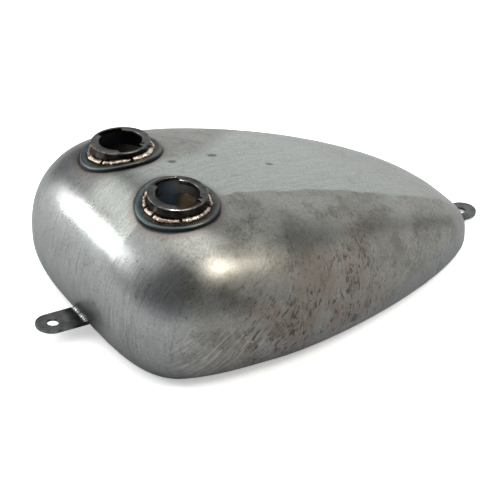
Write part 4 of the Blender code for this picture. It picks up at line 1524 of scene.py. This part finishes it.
studio = {
    "floorTone": (0.90, 0.90, 0.90),
    "floorMirrored": (0.36, 0.365, 0.37),   # the floor as it shows in the steel
    "noseMirrored": (0.62, 0.63, 0.64),
    "floorGlow": 0.40,                     # lifts its shadows
    "floorHalf": 6.0,
    "surround": (0.20, 0.21, 0.22),
    "surroundStrength": 1.0,
    "white": (1.0, 1.0, 1.0),
}


def buildFloor():
    bm = bmesh.new()
    bmesh.ops.create_grid(bm, x_segments=1, y_segments=1, size=studio["floorHalf"])
    floor = addMesh("studio_floor", bm, Matrix.Translation((0.0, 0.0, cadBox[0].z - 0.0004)))
    made, coords = startFinish("paleFloor")
    shader = made.node_tree.nodes["Principled BSDF"]
    mirrored = put("ShaderNodeLightPath").outputs["Is Glossy Ray"]
    x, _, _ = axes(coords)
    inSteel = tone(between(x, -0.15, -0.45), studio["floorMirrored"], studio["noseMirrored"])
    feed(shader.inputs["Base Color"], tone(mirrored, studio["floorTone"], inSteel))
    feed(shader.inputs["Roughness"], 0.9)
    feed(shader.inputs["Emission Color"], studio["white"])
    feed(shader.inputs["Emission Strength"], times(minus(1.0, mirrored), studio["floorGlow"]))
    dress(floor, made)
    return floor


studioFloor = buildFloor()

lamps = {
    # name: (azimuth, elevation, distance, width, height, roll, watts, colour, shows in gloss)
    "nose_window": (-131.0, 14.5, 1.6, 0.98, 0.34, 24.0, 8.0, (1.0, 1.0, 1.0), True),
    "nose_wall": (-130.0, 47.0, 2.4, 2.8, 1.8, 0.0, 20.0, (1.0, 1.0, 0.97), True),
    "corner_wall": (-112.0, 14.0, 2.4, 0.9, 1.6, 0.0, 1.9, (1.0, 1.0, 1.0), True),
    "side_window": (22.0, 49.0, 1.8, 0.62, 0.44, 0.0, 10.0, (1.0, 0.93, 0.80), True),
    "side_wall": (58.0, 10.0, 2.6, 3.2, 2.0, 0.0, 12.5, (1.0, 0.98, 0.95), True),
    "back_wall": (134.0, 20.0, 2.6, 3.4, 2.6, 0.0, 19.0, (0.98, 1.0, 0.98), True),
    "sky": (40.0, 84.0, 2.4, 2.0, 2.0, 0.0, 25.0, (0.98, 1.0, 0.99), True),
    "floor_fill": (0.0, 90.0, 3.0, 7.0, 7.0, 0.0, 230.0, (1.0, 1.0, 1.0), False),
}

lampAim = Vector((0.0, 0.0, 0.06))

snoot = {
    "azimuth": -33.0,
    "elevation": 37.0,
    "distance": 2.4,
    "cone": 1.06,              # degrees, just the left filler's bore
    "blend": 0.7,
    "softness": 0.01,
    "watts": 2200.0,
}


def outward(azimuth, elevation):
    a, e = radians(azimuth), radians(elevation)
    return Vector((sin(a) * cos(e), -cos(a) * cos(e), sin(e)))


def placeLamp(name, data, aim, back, distance, roll=0.0):
    lamp = addObject(name, data)
    facing = (-back).to_track_quat("-Z", "Y").to_matrix().to_4x4()
    lamp.matrix_world = (Matrix.Translation(aim + back * distance) @ facing
                         @ Matrix.Rotation(radians(roll), 4, "Z"))
    return lamp


def buildLamps():
    for name, (azimuth, elevation, distance, width, height, roll, watts, colour, inGloss) in lamps.items():
        data = bpy.data.lights.new(name, "AREA")
        data.shape = "RECTANGLE"
        data.size = width
        data.size_y = height
        data.energy = watts
        data.color = colour
        lamp = placeLamp(name, data, lampAim, outward(azimuth, elevation), distance, roll)
        lamp.visible_glossy = inGloss


def buildSnoot():
    # a narrow lamp that lights the inside of the tank through the left filler
    data = bpy.data.lights.new("snoot", "SPOT")
    data.energy = snoot["watts"]
    data.spot_size = radians(snoot["cone"])
    data.spot_blend = snoot["blend"]
    data.shadow_soft_size = snoot["softness"]
    aim = fillerPlaces["left"] @ Vector((0.0, 0.0, filler["height"]))
    placeLamp("snoot", data, aim, outward(snoot["azimuth"], snoot["elevation"]), snoot["distance"])


buildLamps()
buildSnoot()

world = bpy.data.worlds.new("studioWorld")
bpy.context.scene.world = world
world.use_nodes = True
bench["tree"] = world.node_tree
backdrop = world.node_tree.nodes["Background"]
seen = put("ShaderNodeLightPath").outputs["Is Camera Ray"]
feed(backdrop.inputs["Color"], tone(seen, studio["surround"], studio["white"]))
backdrop.inputs["Strength"].default_value = studio["surroundStrength"]
bpy.context.scene.view_settings.view_transform = "Standard"

viewpoint = {
    "azimuth": -31.537,
    "elevation": 32.085,
    "roll": 1.586,
    "distance": 2.465246,
    "target": (-0.02023, 0.0, 0.03514),
    "lens": 167.74,            # millimetres
    "sensor": 36.0,
    "farClip": 20.0,
}


def buildCamera():
    azimuth, roll = (radians(viewpoint[key]) for key in ("azimuth", "roll"))
    back = outward(viewpoint["azimuth"], viewpoint["elevation"])
    right = Vector((cos(azimuth), sin(azimuth), 0.0))
    up = back.cross(right)
    turnedRight = right * cos(roll) + up * sin(roll)
    turnedUp = up * cos(roll) - right * sin(roll)
    data = bpy.data.cameras.new("tank_camera")
    data.lens = viewpoint["lens"]
    data.sensor_width = viewpoint["sensor"]
    data.clip_end = viewpoint["farClip"]
    camera = addObject("tank_camera", data)
    turn = Matrix((turnedRight, turnedUp, back)).transposed().to_4x4()
    place = Vector(viewpoint["target"]) + back * viewpoint["distance"]
    camera.matrix_world = Matrix.Translation(place) @ turn
    bpy.context.scene.camera = camera


buildCamera()

print("scene ready")
